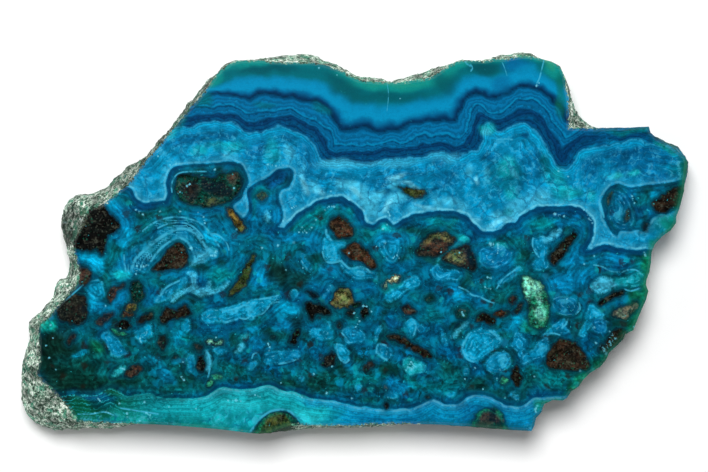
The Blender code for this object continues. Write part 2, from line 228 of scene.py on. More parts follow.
# Fragments of old rock and dark cement, as (tone, strength, outline)
FRAGMENTS = [
    ("moss", 1.0, [178, 177, 186, 174, 200, 176, 215, 177, 224, 174, 231, 171, 237, 172, 241, 178,
        241, 185, 239, 192, 232, 199, 222, 204, 214, 206, 205, 207, 192, 205, 183, 202, 178, 197,
        176, 188]),
    ("umber", 0.9, [184, 184, 192, 181, 199, 186, 198, 196, 191, 202, 184, 198, 181, 190]),
    ("black", 0.9, [200, 180, 214, 181, 226, 183, 233, 190, 228, 197, 214, 195, 203, 190]),
    ("rust", 0.9, [229, 174, 236, 173, 238, 178, 233, 181.5, 228, 179]),
    ("olive", 0.8, [205, 199, 214, 198, 219, 203, 212, 205, 206, 204]),
    ("ochre", 1.0, [227, 208, 232, 209, 237, 216, 242, 221, 245, 228, 243, 232, 238, 231, 234, 225,
        230, 219, 227, 214]),
    ("olive", 0.8, [258, 193, 264, 192, 267, 196, 265, 201, 260, 202, 257, 198]),
    ("olive", 1.0, [399, 187, 404, 187.5, 411, 188, 419, 189.5, 426, 191.5, 423, 195.5, 417, 198, 410, 196,
        404, 192]),
    ("rust", 1.0, [332, 219, 337, 215.5, 343, 217, 349, 223, 354, 230, 352, 236, 345, 238.5, 337, 237,
        332, 231, 330, 224]),
    ("rust", 1.0, [341, 249, 347, 246.5, 353, 242, 359, 243, 364, 248, 370, 253, 375, 260, 377, 266,
        372, 268.5, 365, 264, 358, 261, 350, 259, 344, 255]),
    ("brown", 0.9, [416, 251, 419, 246, 424, 240, 429, 234, 436, 231, 444, 231, 451, 235, 457, 239,
        452, 245, 445, 251, 438, 257, 430, 257.5, 424, 257, 418, 255]),
    ("rust", 0.9, [427, 243, 433, 239, 442, 239, 447, 244, 443, 250, 436, 255, 430, 252]),
    ("tan", 0.9, [424, 241, 430, 234.5, 437, 232, 445, 233, 451, 237, 450, 241, 444, 240.5, 437, 237.5,
        431, 240, 426, 245]),
    ("brown", 0.9, [441, 258, 446, 253, 453, 249, 461, 245.5, 469, 245, 473, 253, 477, 263, 475, 271,
        467, 269.5, 459, 266, 451, 263.5, 444, 262]),
    ("tan", 0.9, [446, 258, 451, 253, 458, 251, 464, 254, 466, 260, 459, 263, 451, 261.5]),
    ("black", 0.9, [466, 250, 470, 248, 474, 256, 477, 265, 473, 267.5, 469, 260]),
    ("umber", 1.0, [549, 255, 556, 248, 563, 241, 569, 235, 574, 231, 577, 235, 573, 242, 568, 248,
        565, 255, 560, 260, 555, 266.5, 551, 264]),
    ("brown", 1.0, [152, 269, 158, 262, 163, 255, 169, 249, 174, 244, 180, 242, 185, 246, 188, 253,
        188.5, 260, 184, 267, 175, 269.5, 163, 271, 155, 271]),
    ("olive", 1.0, [252, 256, 256, 256, 254, 263, 251, 270, 249, 277, 246, 286, 240, 291, 232, 296,
        228.5, 296, 230, 291, 236, 284, 240, 277, 244, 269, 248, 262]),
    ("tan", 1.0, [331, 306, 331, 302, 334, 296, 337, 291, 341, 288, 347, 289, 352, 293, 353, 300, 351, 306,
        345, 307, 339, 308.5]),
    ("black", 1.0, [305, 302, 312, 303, 320, 305, 327, 307.5, 331, 313, 329, 316, 322, 314, 315, 314.5,
        311, 320, 308.5, 316, 307, 309]),
    ("black", 0.9, [305, 291.5, 311, 290.5, 318.5, 296, 316, 299, 309, 295]),
    ("night", 1.0, [352, 304, 357, 301, 362, 302, 360, 306, 354, 307.5]),
    ("black", 1.0, [361, 311, 365, 306.5, 369, 308, 367.5, 314, 363, 318.5, 360, 315]),
    ("black", 0.9, [347, 312, 351, 309, 354, 313, 352, 317, 348, 316]),
    ("cream", 1.0, [399.5, 277, 399, 281, 394, 283, 388.5, 283, 385.5, 288, 383, 288.5, 385, 283, 390, 279,
        394, 276]),
    ("fern", 0.9, [522, 277, 527, 275, 533, 279, 539, 280, 544, 286, 547, 294, 549, 303, 549.5, 314,
        546, 324, 541, 329, 534, 328, 529, 322, 526.5, 316, 528.5, 308, 529, 301, 525, 300, 522.5, 292,
        521.5, 284]),
    ("mint", 0.85, [523, 279, 528, 277, 533, 281, 539, 282, 543, 288, 541, 294, 536, 292, 532, 296,
        530, 303, 526, 299, 524, 291]),
    ("mint", 0.6, [536, 309, 541, 306, 545, 310, 544, 318, 539, 320, 536, 315]),
    ("mint", 0.7, [536, 297, 541, 296, 543, 301, 539, 304]),
    ("grey", 0.8, [612, 313, 616, 309, 622, 307, 628, 305, 633, 302, 638, 303.5, 637, 310, 631, 314,
        627, 319, 621, 319, 615, 317]),
    ("black", 1.0, [597.5, 304, 601, 299, 607, 296, 613, 292, 618, 290, 622.5, 290, 623.5, 293, 618, 297,
        611, 300, 605, 303, 600, 306]),
    ("umber", 1.0, [603, 348, 606, 342, 611, 335, 617, 329, 622, 328.5, 627, 332, 624, 338, 618, 343,
        613, 348, 607, 351]),
    ("brown", 1.0, [546.5, 357, 550, 349, 556, 342, 562, 339, 570, 340, 577, 344, 582, 350, 586, 357,
        590, 364.5, 588, 369, 578, 370.5, 567, 370.5, 556, 370, 549, 367, 545.5, 362]),
    ("rust", 1.0, [493.5, 315, 499, 309, 505, 311, 510, 313, 505, 316, 497, 317.5]),
    ("umber", 1.0, [476, 319, 483, 313, 490, 315, 497, 319, 493, 324.5, 484, 322, 478, 322]),
    ("rust", 0.9, [508, 301, 511, 296, 516, 294, 517.5, 298, 514, 303, 510, 305.5]),
    ("umber", 0.9, [513.5, 312, 517, 306, 521, 301.5, 524, 303, 522, 309, 517, 314]),
    ("umber", 1.0, [513, 368, 517, 365.5, 520.5, 372, 521.5, 380, 519, 387, 515, 385, 511.5, 376]),
    ("brown", 1.0, [386, 336, 391, 333.5, 397, 335, 405, 338, 411, 342, 417, 345, 424, 349, 430, 354,
        430.5, 358.5, 424, 357.5, 416, 352, 408, 348, 400, 344, 393, 340]),
    ("rust", 0.9, [402, 309, 405, 304.5, 410, 304.5, 414, 309, 418, 313, 411, 315, 405, 314]),
    ("moss", 0.8, [425, 299, 428, 295.5, 433, 296.5, 434, 300, 430, 302, 426, 301]),
    ("moss", 0.8, [456, 313, 459, 308, 466, 309, 469, 314, 465, 319, 458, 318]),
    ("rust", 0.9, [108, 300, 108.5, 291, 113, 287, 119, 285, 125, 283, 123, 288, 117, 292, 115, 298,
        110, 303]),
    ("moss", 1.0, [131, 284, 138, 281, 143, 285, 144.5, 293, 140, 301, 134, 304, 131, 296]),
    ("ochre", 0.9, [124.5, 309, 129, 304.5, 134, 304, 138.5, 307, 136, 311, 130, 312]),
    ("rust", 0.95, [121, 315, 124, 311, 130, 312.5, 136, 313, 134, 317, 127, 317.5, 122, 317.5]),
    ("rust", 0.85, [96, 322, 100, 317, 106, 313, 112, 311.5, 114, 316, 107, 320.5, 101, 325.5, 97, 325]),
    ("black", 1.0, [116.5, 325, 122, 320.5, 128, 320.5, 131.5, 326, 127, 330, 121, 328]),
    ("umber", 0.95, [136, 322, 141, 316, 147, 313, 153.5, 312.5, 153.5, 317, 146, 321.5, 140, 325]),
    ("umber", 1.0, [160, 322.5, 162, 315, 164.5, 308, 170, 309, 177, 310, 183, 305.5, 188, 306.5,
        190.5, 313, 185, 317, 179, 318.5, 172, 320.5, 165, 324]),
    ("umber", 0.95, [56.5, 312, 62, 303, 68, 297, 75, 294, 85, 296.5, 87.5, 306, 87.5, 318, 82, 323.5,
        74, 324, 66, 322, 60, 320]),
    ("rust", 0.95, [78, 269, 85, 267.5, 91.5, 272, 91.5, 278, 87, 284, 80, 285.5, 76, 279]),
    ("black", 1.0, [70, 248, 70, 238, 71, 226, 76, 214, 86, 206, 95, 204.5, 103, 205, 108, 211, 113, 217,
        119.5, 224, 117.5, 230, 113, 234, 108, 234.5, 107.5, 242, 105, 250, 103, 255.5, 100, 253.5,
        97, 249, 88, 250.5, 78, 250]),
    ("grey", 1.0, [62, 222, 66, 213, 74, 208, 83, 206, 88, 211, 83, 217, 87, 223, 80, 230, 74, 236,
        68, 238, 62, 232]),
    ("rust", 0.8, [66, 343, 69, 336, 74, 333, 77, 336, 74, 340, 70, 345]),
    ("rust", 0.9, [124, 375, 127, 369.5, 132, 366, 139, 364.5, 143.5, 368, 140, 373, 132, 377.5]),
    ("umber", 0.9, [157.5, 340, 161, 335.5, 166, 337, 167.5, 345, 163, 350, 158.5, 346]),
    ("black", 1.0, [197, 362, 199, 356, 203, 355, 205, 361, 204.5, 369, 201, 373, 197, 368]),
    ("brown", 0.75, [193.5, 346, 198, 343.5, 203, 346, 202, 350.5, 197, 352]),
    ("mint", 0.95, [206.5, 345, 208, 340, 215, 341, 223.5, 340, 222, 345, 215, 343.5]),
    ("jade", 0.8, [206.5, 386.5, 208, 381.5, 211, 378, 214, 383, 211, 387]),
    ("jade", 0.7, [210, 376, 216, 373.5, 223, 375, 222, 379, 214, 379]),
    ("umber", 0.95, [321.5, 365, 325, 357, 330, 352.5, 335, 355, 334, 362, 328, 367]),
    ("black", 1.0, [288.5, 343, 291, 337, 295, 331.5, 300, 329, 299, 338, 295, 344.5]),
    ("brown", 0.9, [361, 369.5, 365, 364.5, 371, 361.5, 374.5, 365, 370, 369.5, 365, 371]),
    ("brown", 0.85, [335.5, 325, 339, 322, 343, 324.5, 342, 328.5, 337.5, 328.5]),
    ("black", 0.95, [383, 405.5, 385.5, 402.5, 388, 405.5, 385.5, 408.5]),
    ("black", 0.85, [425.5, 397, 427.5, 394.5, 430, 397, 427.5, 399.5]),
    ("tan", 0.6, [383.5, 388, 385, 384.5, 387, 387.5, 385.5, 391]),
    ("emerald", 0.8, [251, 440, 255, 429, 261, 420, 270, 413, 281, 412, 290, 414, 296, 421, 300, 430,
        300, 440]),
    ("olive", 1.0, [259, 438, 262, 426, 267, 419, 275, 414.5, 284, 415, 290, 419.5, 294, 426, 295, 438]),
    ("emerald", 0.8, [472, 434, 474, 418, 482, 409, 493, 408, 502, 413, 505, 423, 505, 434]),
    ("brown", 0.9, [476, 431, 478, 420, 484, 413, 492, 411, 498, 415, 501, 422, 501, 431]),
    ("umber", 1.0, [651, 204, 656, 200, 662, 196, 669, 191, 676, 188, 684, 186, 688, 190, 684, 196,
        679, 204, 672, 208, 664, 212.5, 656, 212]),
    ("olive", 0.85, [606.5, 203, 608, 196, 612, 191.5, 614.5, 193, 610.5, 199, 608.5, 205]),
    ("olive", 0.8, [624, 219, 626, 212, 629, 208, 631, 212, 629, 219, 626, 221.5]),
    ("black", 0.8, [641, 231, 644, 224, 648, 224, 648, 229, 643, 233]),
    ("black", 0.8, [269, 337.5, 272, 335.5, 275, 337, 272, 339]),
    ("black", 0.75, [171, 359, 175, 356, 178, 358, 173, 360.5]),
    ("jade", 0.75, [110, 329, 117, 329, 124, 332, 127, 335, 120, 336.5, 113, 332.5]),
    ("jade", 0.75, [499, 383, 502, 377, 508, 377, 508, 383, 502, 385]),
    ("umber", 0.8, [610, 351, 600, 352, 598, 346, 604, 343]),
]

# Pale chrysocolla bodies, as (tone, strength, outline)
PALE_BODIES = [
    ("azure", 0.42, [131, 250, 136, 245, 142, 244, 147, 240, 152, 236, 158, 231, 166, 227, 176, 225,
        186, 227, 193, 232, 197, 239, 203, 243, 211, 247, 218, 250, 218, 256, 210, 260, 202, 264, 193, 266,
        189, 262, 188, 253, 182, 243, 173, 245, 163, 256, 152, 268, 146, 273, 138, 270, 131, 262]),
    ("sky", 0.95, [186, 272, 197, 272, 196, 281, 199, 287, 206, 287, 209, 281, 212, 284, 211, 289,
        222, 286, 229, 281, 226, 288, 216, 293, 206, 296, 198, 296.5, 190, 292.5, 182, 295, 176, 300,
        172, 302, 171, 298, 178, 292, 186, 288, 190, 283, 190, 277]),
    ("azure", 0.85, [154, 302, 158, 295, 163, 288, 171, 283, 180, 279, 188, 277, 186, 286, 177, 291,
        170, 298, 164, 301]),
    ("sky", 0.9, [195, 252, 202, 252, 209, 249, 212, 252, 208, 258, 202, 263, 194, 265, 189, 266, 192, 260,
        197, 257]),
    ("bright", 0.9, [201, 316, 207, 311, 214, 309, 224, 308, 234, 305, 245, 301, 257, 298.5, 268, 297,
        277, 295, 280.5, 297, 272, 303, 266, 309, 259, 315, 251, 319.5, 243, 318, 236, 321, 228, 323.5,
        221, 322, 212, 322.5, 204, 323.5, 201, 320]),
    ("bright", 0.9, [323, 246, 325, 237, 328, 234, 333, 240, 341, 240, 348, 242, 342, 249, 340, 257,
        336, 261.5, 328, 261.5, 323, 255]),
    ("azure", 0.8, [340, 262, 345, 264, 351, 268, 360, 267, 368, 270, 377, 273, 377, 280, 368, 279,
        358, 280, 350, 276, 344, 270]),
    ("azure", 0.9, [301, 252, 304, 252, 307, 258, 310, 262, 312.5, 269, 308, 271.5, 304, 266, 300.5, 260]),
    ("azure", 0.8, [319.5, 299, 325, 291, 329, 285, 332.5, 286, 329, 293, 324, 299]),
    ("bright", 0.85, [290, 292, 294, 289, 298, 292, 297, 298, 293, 300, 290, 297]),
    ("bright", 0.85, [309, 331, 313, 328, 320, 328, 324, 323, 329, 322, 331, 328, 334.5, 333, 332, 338.5,
        324, 340, 316, 339, 310, 336]),
    ("azure", 0.9, [341, 332, 347, 327, 354, 326, 362, 329, 365, 335, 364, 342, 356, 342, 348, 343,
        344, 339]),
    ("bright", 0.9, [335.5, 344, 342, 345, 348, 349, 350.5, 355, 347, 362, 342, 360, 337, 355, 335.5, 350]),
    ("azure", 0.75, [375, 352, 377, 345.5, 381, 344, 388, 347, 392, 352, 390, 359, 386, 361, 381, 357]),
    ("turquoise", 1.0, [402, 362, 405, 358, 411, 357.5, 418, 360, 425, 364, 424, 371, 416, 374.5,
        408, 373.5, 403, 368]),
    ("bright", 0.85, [405, 322, 411, 318.5, 416, 323, 416.5, 333, 412, 338, 407, 335, 403.5, 328]),
    ("azure", 0.7, [417, 324, 423, 325, 424, 331, 418, 332.5]),
    ("azure", 0.8, [439.5, 328, 444, 332, 447, 340, 447.5, 346, 443, 344, 441, 336]),
    ("sky", 0.85, [451, 337, 457, 329, 463, 322.5, 470, 319.5, 467, 325, 461, 331, 455, 337]),
    ("bright", 1.0, [460.5, 347, 464, 340, 468, 333.5, 474, 330.5, 481, 328, 489, 329, 496, 331,
        500, 335.5, 502.5, 341, 498, 348, 491, 352, 485, 356, 480, 361.5, 474, 362.5, 468, 359.5,
        463.5, 357, 461, 352]),
    ("azure", 0.9, [484, 364, 489, 358, 494, 354, 501, 350.5, 508, 352, 511.5, 360, 509, 367, 503, 372.5,
        495, 374.5, 488, 371, 485, 368]),
    ("azure", 0.9, [510.5, 345, 514, 337, 516, 331, 520, 333, 523, 338, 527, 340, 526, 347, 523, 353,
        521, 358.5, 516, 351]),
    ("azure", 0.85, [527, 352, 533, 349, 540, 341, 548, 337, 550, 350, 544, 357, 537, 359, 529, 361,
        522, 365, 521, 360]),
    ("bright", 0.9, [589, 304, 592, 304, 597, 309, 604, 313.5, 603, 317.5, 595, 321, 590, 328, 587, 334.5,
        581, 336.5, 577, 334, 582, 327, 585, 319, 587, 311]),
    ("sky", 1.0, [590, 286, 594, 280, 600, 277, 607, 277, 613, 280, 618, 284, 614, 288.5, 607, 291.5,
        600, 294, 594, 291]),
    ("turquoise", 0.8, [613, 279, 622, 277.5, 632, 275, 640, 272, 645, 276, 643, 284, 633, 287, 622, 286,
        616, 284]),
    ("azure", 0.85, [540, 337, 548, 329, 556, 323.5, 561, 318.5, 567, 321, 567, 328, 571, 332, 561, 335,
        550, 335]),
    ("azure", 0.95, [531, 240, 535, 236.5, 542, 236, 548, 238, 549.5, 246, 548, 256, 549, 266, 544, 270.5,
        536, 270, 529.5, 267, 534, 260, 536.5, 253, 532, 247]),
    ("sky", 0.9, [543, 240.5, 548, 236, 552, 231.5, 560, 228, 562, 232, 556, 237, 550, 242, 545, 243]),
    ("bright", 0.9, [383, 298, 387, 292, 394, 289, 401, 285, 405, 280, 412, 276.5, 418, 277, 420, 285,
        412, 288, 404, 292, 399, 297, 392, 301.5, 386, 301]),
    ("turquoise", 0.8, [436, 260, 442, 254, 449, 249, 456, 243, 463, 237, 468, 237, 469, 242, 462, 246,
        454, 250, 447, 255, 440, 261]),
    ("azure", 0.9, [431.5, 269, 437, 264, 442, 268, 450, 269, 458, 270, 461.5, 276, 457, 281, 449, 279,
        441, 281.5, 434, 278]),
    ("azure", 0.75, [378, 243, 384, 240, 392, 241, 398, 240, 400, 247, 399, 255, 395, 262, 389, 262,
        384, 257, 380, 250]),
    ("bright", 0.85, [83, 286, 89, 281, 95, 279, 101, 280, 104, 288, 105, 296, 99, 300, 92, 297, 86, 291]),
    ("azure", 0.95, [100, 336, 106, 331.5, 112, 333.5, 118, 338, 122, 345, 128, 353, 120, 357, 112, 355.5,
        108, 348, 103, 342]),
    ("bright", 0.9, [133.5, 331, 140, 329, 146, 325, 151.5, 323, 152, 334, 147, 340, 141, 343.5, 136, 338]),
    ("aqua", 0.95, [111.5, 377, 115, 370, 121, 366.5, 126, 366.5, 125, 371, 120, 374.5]),
    ("bright", 0.85, [183, 322, 187, 318, 190, 322, 190, 330, 186, 332, 183, 328]),
    ("sky", 0.95, [204.5, 350, 209, 352, 211.5, 360, 211, 367, 207, 372.5, 204.5, 366, 206, 358]),
    ("azure", 0.7, [186, 357, 190, 354, 195, 358, 195, 370, 192, 374, 188, 368]),
    ("azure", 0.8, [214, 349, 220, 346, 227, 349, 226, 354, 218, 354.5]),
    ("sky", 0.9, [271, 355, 277, 353.5, 284.5, 357, 281, 360, 272, 359.5]),
    ("azure", 0.8, [262, 358, 268, 352, 278, 351, 290, 349, 299, 350, 298, 358, 289, 362, 276, 364,
        266, 364]),
    ("sky", 0.85, [234.5, 353, 239, 345, 243, 342.5, 245, 346, 240, 352]),
    ("turquoise", 0.7, [238, 339, 242, 335, 249, 333, 250, 336, 245, 339]),
    ("azure", 0.7, [247, 367, 251, 362, 256, 361, 257, 365, 251, 370]),
    ("azure", 0.8, [299, 378, 302, 375, 305, 378, 302, 381.5]),
    ("azure", 0.9, [354, 387, 358, 383, 362, 387, 358, 391.5]),
    ("turquoise", 0.75, [367, 389, 371, 385.5, 375, 389, 371, 393]),
    ("azure", 0.75, [383, 396, 388, 392, 395, 393, 398, 397, 391, 399.5]),
    ("azure", 0.65, [427, 378, 433, 376, 439, 378, 436, 381, 430, 381]),
    ("azure", 0.7, [446, 394, 450, 391, 457, 391, 457, 394, 450, 397]),
    ("azure", 0.75, [508, 394, 512, 391, 517, 391, 513, 396, 509, 397]),
    ("azure", 0.75, [513, 398, 517, 395, 520, 398, 517, 401]),
    ("azure", 0.8, [528, 389, 533, 388, 537, 392, 534, 395, 529, 393]),
    ("azure", 0.85, [463, 369, 468, 368, 469, 373, 465, 376]),
    ("azure", 0.75, [374, 337, 376, 330, 380, 325, 382, 330, 379, 338, 376, 342]),
    ("blue", 0.8, [610, 192, 617, 190, 624, 194, 629, 202, 633, 212, 634, 222, 628, 229, 618, 229,
        611, 222, 608, 210, 607.5, 200]),
    ("sky", 0.9, [264, 214.5, 266, 211, 269.5, 213, 270, 219, 267, 223, 264.5, 219]),
    ("blue", 0.8, [591, 322, 596, 318, 604, 318, 608, 323, 606, 331, 600, 334, 593, 331]),
    ("blue", 0.8, [552, 300, 560, 296, 570, 297, 578, 302, 580, 310, 572, 316, 562, 315, 554, 310]),
    ("turquoise", 0.7, [500, 240, 508, 246, 512, 254, 504, 262, 496, 264, 484, 262, 482, 254, 490, 250]),
    ("blue", 0.85, [480, 250, 500, 246, 512, 252, 508, 262, 494, 268, 482, 266]),
    ("azure", 0.75, [497, 285, 503, 277, 512, 270, 520, 266, 523, 269, 516, 275, 508, 281, 501, 287]),
]

# Soft patches above the scallops, as (tone, x, y, half length, half width, tilt, strength)
LIGHT_PATCHES = [
    ("blue", 652, 162, 42, 20, 0, 0.55), ("navy", 614, 137, 36, 8, 0, 0.42),
    ("deep", 634, 151, 30, 9, -8, 0.50), ("deep", 602, 160, 18, 8, 20, 0.40),
    ("deep", 668, 168, 16, 7, -25, 0.40), ("green_teal", 392, 86, 46, 5, 0, 0.75),
    ("green_teal", 428, 82, 18, 6, 15, 0.8), ("green_teal", 447, 72, 15, 7, 35, 0.85),
    ("green_teal", 461, 64, 8, 5, 0, 0.9), ("jade", 395, 84, 34, 2, 0, 0.25),
    ("green_teal", 554, 70, 10, 9, -60, 0.9), ("jade", 550, 64, 7, 4, -50, 0.5),
    ("teal", 312, 68, 50, 6, 0, 0.7), ("green_teal", 243, 64, 18, 4, 5, 0.5),
    ("sea", 268, 70, 30, 4, 0, 0.6), ("sea", 344, 88, 20, 9, -35, 0.6), ("sea", 392, 98, 42, 6, 0, 0.5),
    ("sea", 446, 84, 12, 12, 35, 0.6), ("sea", 484, 68, 16, 7, 0, 0.8), ("blue", 515, 64, 14, 8, 0, 0.85),
    ("azure", 526, 72, 12, 8, 0, 0.6), ("blue", 503, 84, 10, 8, 0, 0.6),
    ("teal", 204, 100, 10, 7, 45, 0.7), ("green_teal", 215, 80, 10, 5, 50, 0.7),
    ("teal", 180, 122, 10, 5, 45, 0.6), ("turquoise", 171, 133, 7, 3, 50, 0.6),
    ("emerald", 561, 96, 5, 22, 0, 0.5), ("turquoise", 487, 129, 7, 7, 0, 0.9),
    ("sky", 486, 131, 4, 5, 0, 0.5), ("teal", 266, 105, 12, 4, 0, 0.5),
    ("teal", 320, 108, 10, 5, -30, 0.6), ("sky", 335, 164, 30, 5, 0, 0.55),
    ("sky", 392, 163, 30, 4, 5, 0.4), ("sky", 443, 158, 14, 5, 0, 0.4),
    ("turquoise", 225, 146, 22, 7, 0, 0.7), ("azure", 196, 152, 30, 7, 10, 0.6),
    ("bright", 165, 176, 9, 22, 0, 0.6), ("turquoise", 200, 152, 8, 6, 0, 0.6),
    ("sky", 224, 155, 4, 4, 0, 0.6), ("blue", 188, 140, 26, 6, 5, 0.7),
    ("deep", 222, 133, 20, 4, -5, 0.6), ("deep", 290, 138, 10, 5, 0, 0.5),
    ("blue", 258, 150, 14, 10, 20, 0.7), ("turquoise", 272, 152, 8, 14, 0, 0.5),
    ("sky", 291, 152, 6, 7, 0, 0.7), ("blue", 308, 160, 12, 24, 0, 0.6),
    ("sky", 302, 175, 2.5, 12, 0, 0.5), ("sky", 314, 187, 6, 6, 0, 0.75),
    ("sky", 343, 186, 9, 5, -20, 0.7), ("sky", 364, 197, 14, 8, -35, 0.7),
    ("sky", 370, 210, 10, 8, -20, 0.6), ("blue", 376, 178, 14, 10, 0, 0.5),
    ("deep", 386, 193, 8, 6, 60, 0.6), ("sky", 395, 183, 5, 5, 0, 0.7), ("sky", 396, 199, 12, 8, 30, 0.8),
    ("azure", 350, 174, 40, 6, 0, 0.5), ("blue", 408, 172, 22, 5, 0, 0.5),
    ("sky", 413, 209, 5, 4, 0, 0.6), ("azure", 425, 203, 12, 8, 0, 0.5), ("deep", 439, 164, 6, 6, 0, 0.5),
    ("sky", 437, 203, 5, 8, 0, 0.6), ("sky", 452, 202, 10, 4, 5, 0.7), ("sky", 464, 206, 5, 5, 0, 0.6),
    ("blue", 445, 180, 16, 9, 0, 0.6), ("deep", 456, 174, 5, 5, 0, 0.5), ("sky", 470, 170, 3, 7, 20, 0.5),
    ("sky", 488, 173, 3.5, 5, 0, 0.6), ("pale", 478.5, 181, 1.6, 6, 0, 0.7),
    ("sky", 487, 182, 1.6, 5, 20, 0.5), ("deep", 490, 158, 10, 6, 0, 0.6),
    ("turquoise", 508, 166, 10, 11, 0, 0.7), ("turquoise", 512, 194, 9, 8, 0, 0.7),
    ("azure", 486, 200, 14, 10, 0, 0.6), ("blue", 520, 186, 6, 8, 0, 0.6),
    ("deep", 519, 193, 4, 5, 0, 0.5), ("sky", 497, 217, 6, 6, 0, 0.7), ("sky", 515, 208, 14, 6, 35, 0.55),
    ("turquoise", 509, 214, 6, 4, 0, 0.5), ("sky", 536, 198, 12, 7, 15, 0.6),
    ("bright", 490, 225, 10, 5, 0, 0.5), ("blue", 534, 166, 14, 18, 0, 0.55),
    ("deep", 541, 162, 5, 12, 10, 0.4), ("deep", 524, 136, 4, 3.5, 0, 0.8),
    ("azure", 520, 146, 18, 6, 0, 0.5), ("teal", 545, 162, 6, 14, 0, 0.6),
    ("bright", 545, 150, 4, 12, 30, 0.6), ("turquoise", 556, 178, 12, 10, 0, 0.6),
    ("azure", 575, 176, 12, 10, 0, 0.5), ("turquoise", 566, 193, 16, 8, 0, 0.7),
    ("sky", 543, 200, 8, 6, 0, 0.5), ("blue", 589, 166, 9, 14, 0, 0.7), ("blue", 590, 185, 7, 10, 0, 0.5),
    ("turquoise", 591, 194, 6, 7, 0, 0.6), ("bright", 585, 152, 12, 4, 25, 0.7),
    ("deep", 640, 152, 20, 6, 15, 0.65), ("deep", 622, 158, 18, 7, -5, 0.5),
    ("blue", 640, 164, 30, 9, 0, 0.6), ("aqua", 615, 175, 9, 4.5, -5, 0.75),
    ("turquoise", 634, 172, 6, 3.5, 0, 0.9), ("azure", 610, 170, 6, 10, 0, 0.5),
    ("azure", 664, 167, 8, 4, 0, 0.8), ("azure", 630, 144, 24, 5, 0, 0.7),
    ("deep", 651, 138, 5, 6, 0, 0.8), ("teal", 643, 129, 8, 3, 0, 0.7), ("teal", 622, 131, 20, 3, 0, 0.7),
    ("blue", 600, 133, 16, 5, 0, 0.4), ("green_teal", 666, 147, 12, 3, -35, 0.6),
    ("teal", 682, 170, 6, 14, 0, 0.8), ("emerald", 687, 172, 3, 14, 0, 0.8),
    ("blue", 660, 178, 20, 5, 10, 0.6), ("teal", 672, 170, 8, 10, 0, 0.5),
    ("azure", 598, 222, 6, 24, 0, 0.6), ("teal", 662, 222, 14, 8, 30, 0.75),
    ("green_teal", 668, 222, 9, 8, 35, 0.8), ("emerald", 672, 227, 8, 3, 35, 0.7),
    ("azure", 612, 240, 20, 6, 0, 0.6), ("azure", 634, 240, 14, 6, 0, 0.7),
    ("green_teal", 652, 244, 4, 7, 20, 0.8), ("emerald", 92, 416, 22, 7, 0, 0.8),
    ("emerald", 80, 406, 12, 10, 0, 0.7), ("sea", 104, 403, 14, 8, 0, 0.7),
    ("blue", 96, 396, 22, 4, 0, 0.6), ("green_teal", 130, 412, 22, 9, 0, 0.7),
    ("turquoise", 136, 396, 16, 4, 0, 0.6), ("turquoise", 160, 410, 24, 10, 0, 0.7),
    ("green_teal", 128, 421, 34, 4, 0, 0.7), ("turquoise", 200, 408, 30, 14, 0, 0.8),
    ("teal", 224, 394, 10, 8, 0, 0.5), ("turquoise", 262, 400, 34, 12, 0, 0.8),
    ("aqua", 240, 404, 22, 5, 0, 0.5), ("sea", 252, 395, 8, 5, 0, 0.4), ("teal", 273, 391, 9, 6, 0, 0.5),
    ("aqua", 310, 416, 18, 8, 10, 0.6), ("turquoise", 325, 412, 20, 9, 0, 0.6),
    ("azure", 320, 403, 26, 4, -5, 0.6), ("azure", 375, 414, 40, 9, 0, 0.6),
    ("blue", 390, 421, 36, 4, 0, 0.5), ("azure", 440, 412, 24, 8, 0, 0.7),
    ("blue", 455, 422, 30, 4, 0, 0.6), ("azure", 480, 402, 16, 4, 0, 0.8),
    ("azure", 520, 416, 16, 10, 0, 0.6), ("green_teal", 538, 406, 6, 8, 0, 0.7),
    ("emerald", 548, 402, 16, 3, 10, 0.8), ("deep", 330, 178, 14, 3, -15, 0.5),
    ("deep", 434, 190, 12, 2, 35, 0.55), ("deep", 455, 200, 12, 2, -60, 0.45),
    ("deep", 410, 199, 9, 2, 60, 0.5), ("deep", 380, 186, 12, 2.5, 35, 0.5),
    ("deep", 360, 205, 8, 2, 70, 0.4), ("sky", 350, 185, 16, 4, -10, 0.8),
    ("pale", 397, 176, 10, 2.5, 20, 0.65), ("pale", 412, 186, 12, 2.5, -25, 0.55),
    ("sky", 372, 198, 14, 5, 30, 0.8), ("pale", 425, 206, 12, 2.5, -15, 0.5),
    ("sky", 450, 215, 16, 4, -10, 0.7), ("pale", 470, 222, 10, 2.5, 10, 0.6),
    ("pale", 500, 224, 14, 2.5, 20, 0.6), ("sky", 520, 214, 16, 4, 15, 0.6),
    ("pale", 346, 201, 7, 4, 40, 0.5), ("pale", 357, 193, 9, 2.5, -30, 0.55),
    ("pale", 388, 206, 9, 3, 45, 0.6), ("pale", 304, 186, 3, 9, 10, 0.45),
    ("pale", 318, 193, 7, 3, -20, 0.5), ("teal", 505, 178, 22, 16, 10, 0.45),
    ("deep", 497, 190, 9, 2, -50, 0.35), ("deep", 527, 176, 3, 10, 15, 0.35),
    ("sky", 513, 171, 3, 8, 30, 0.5),
]

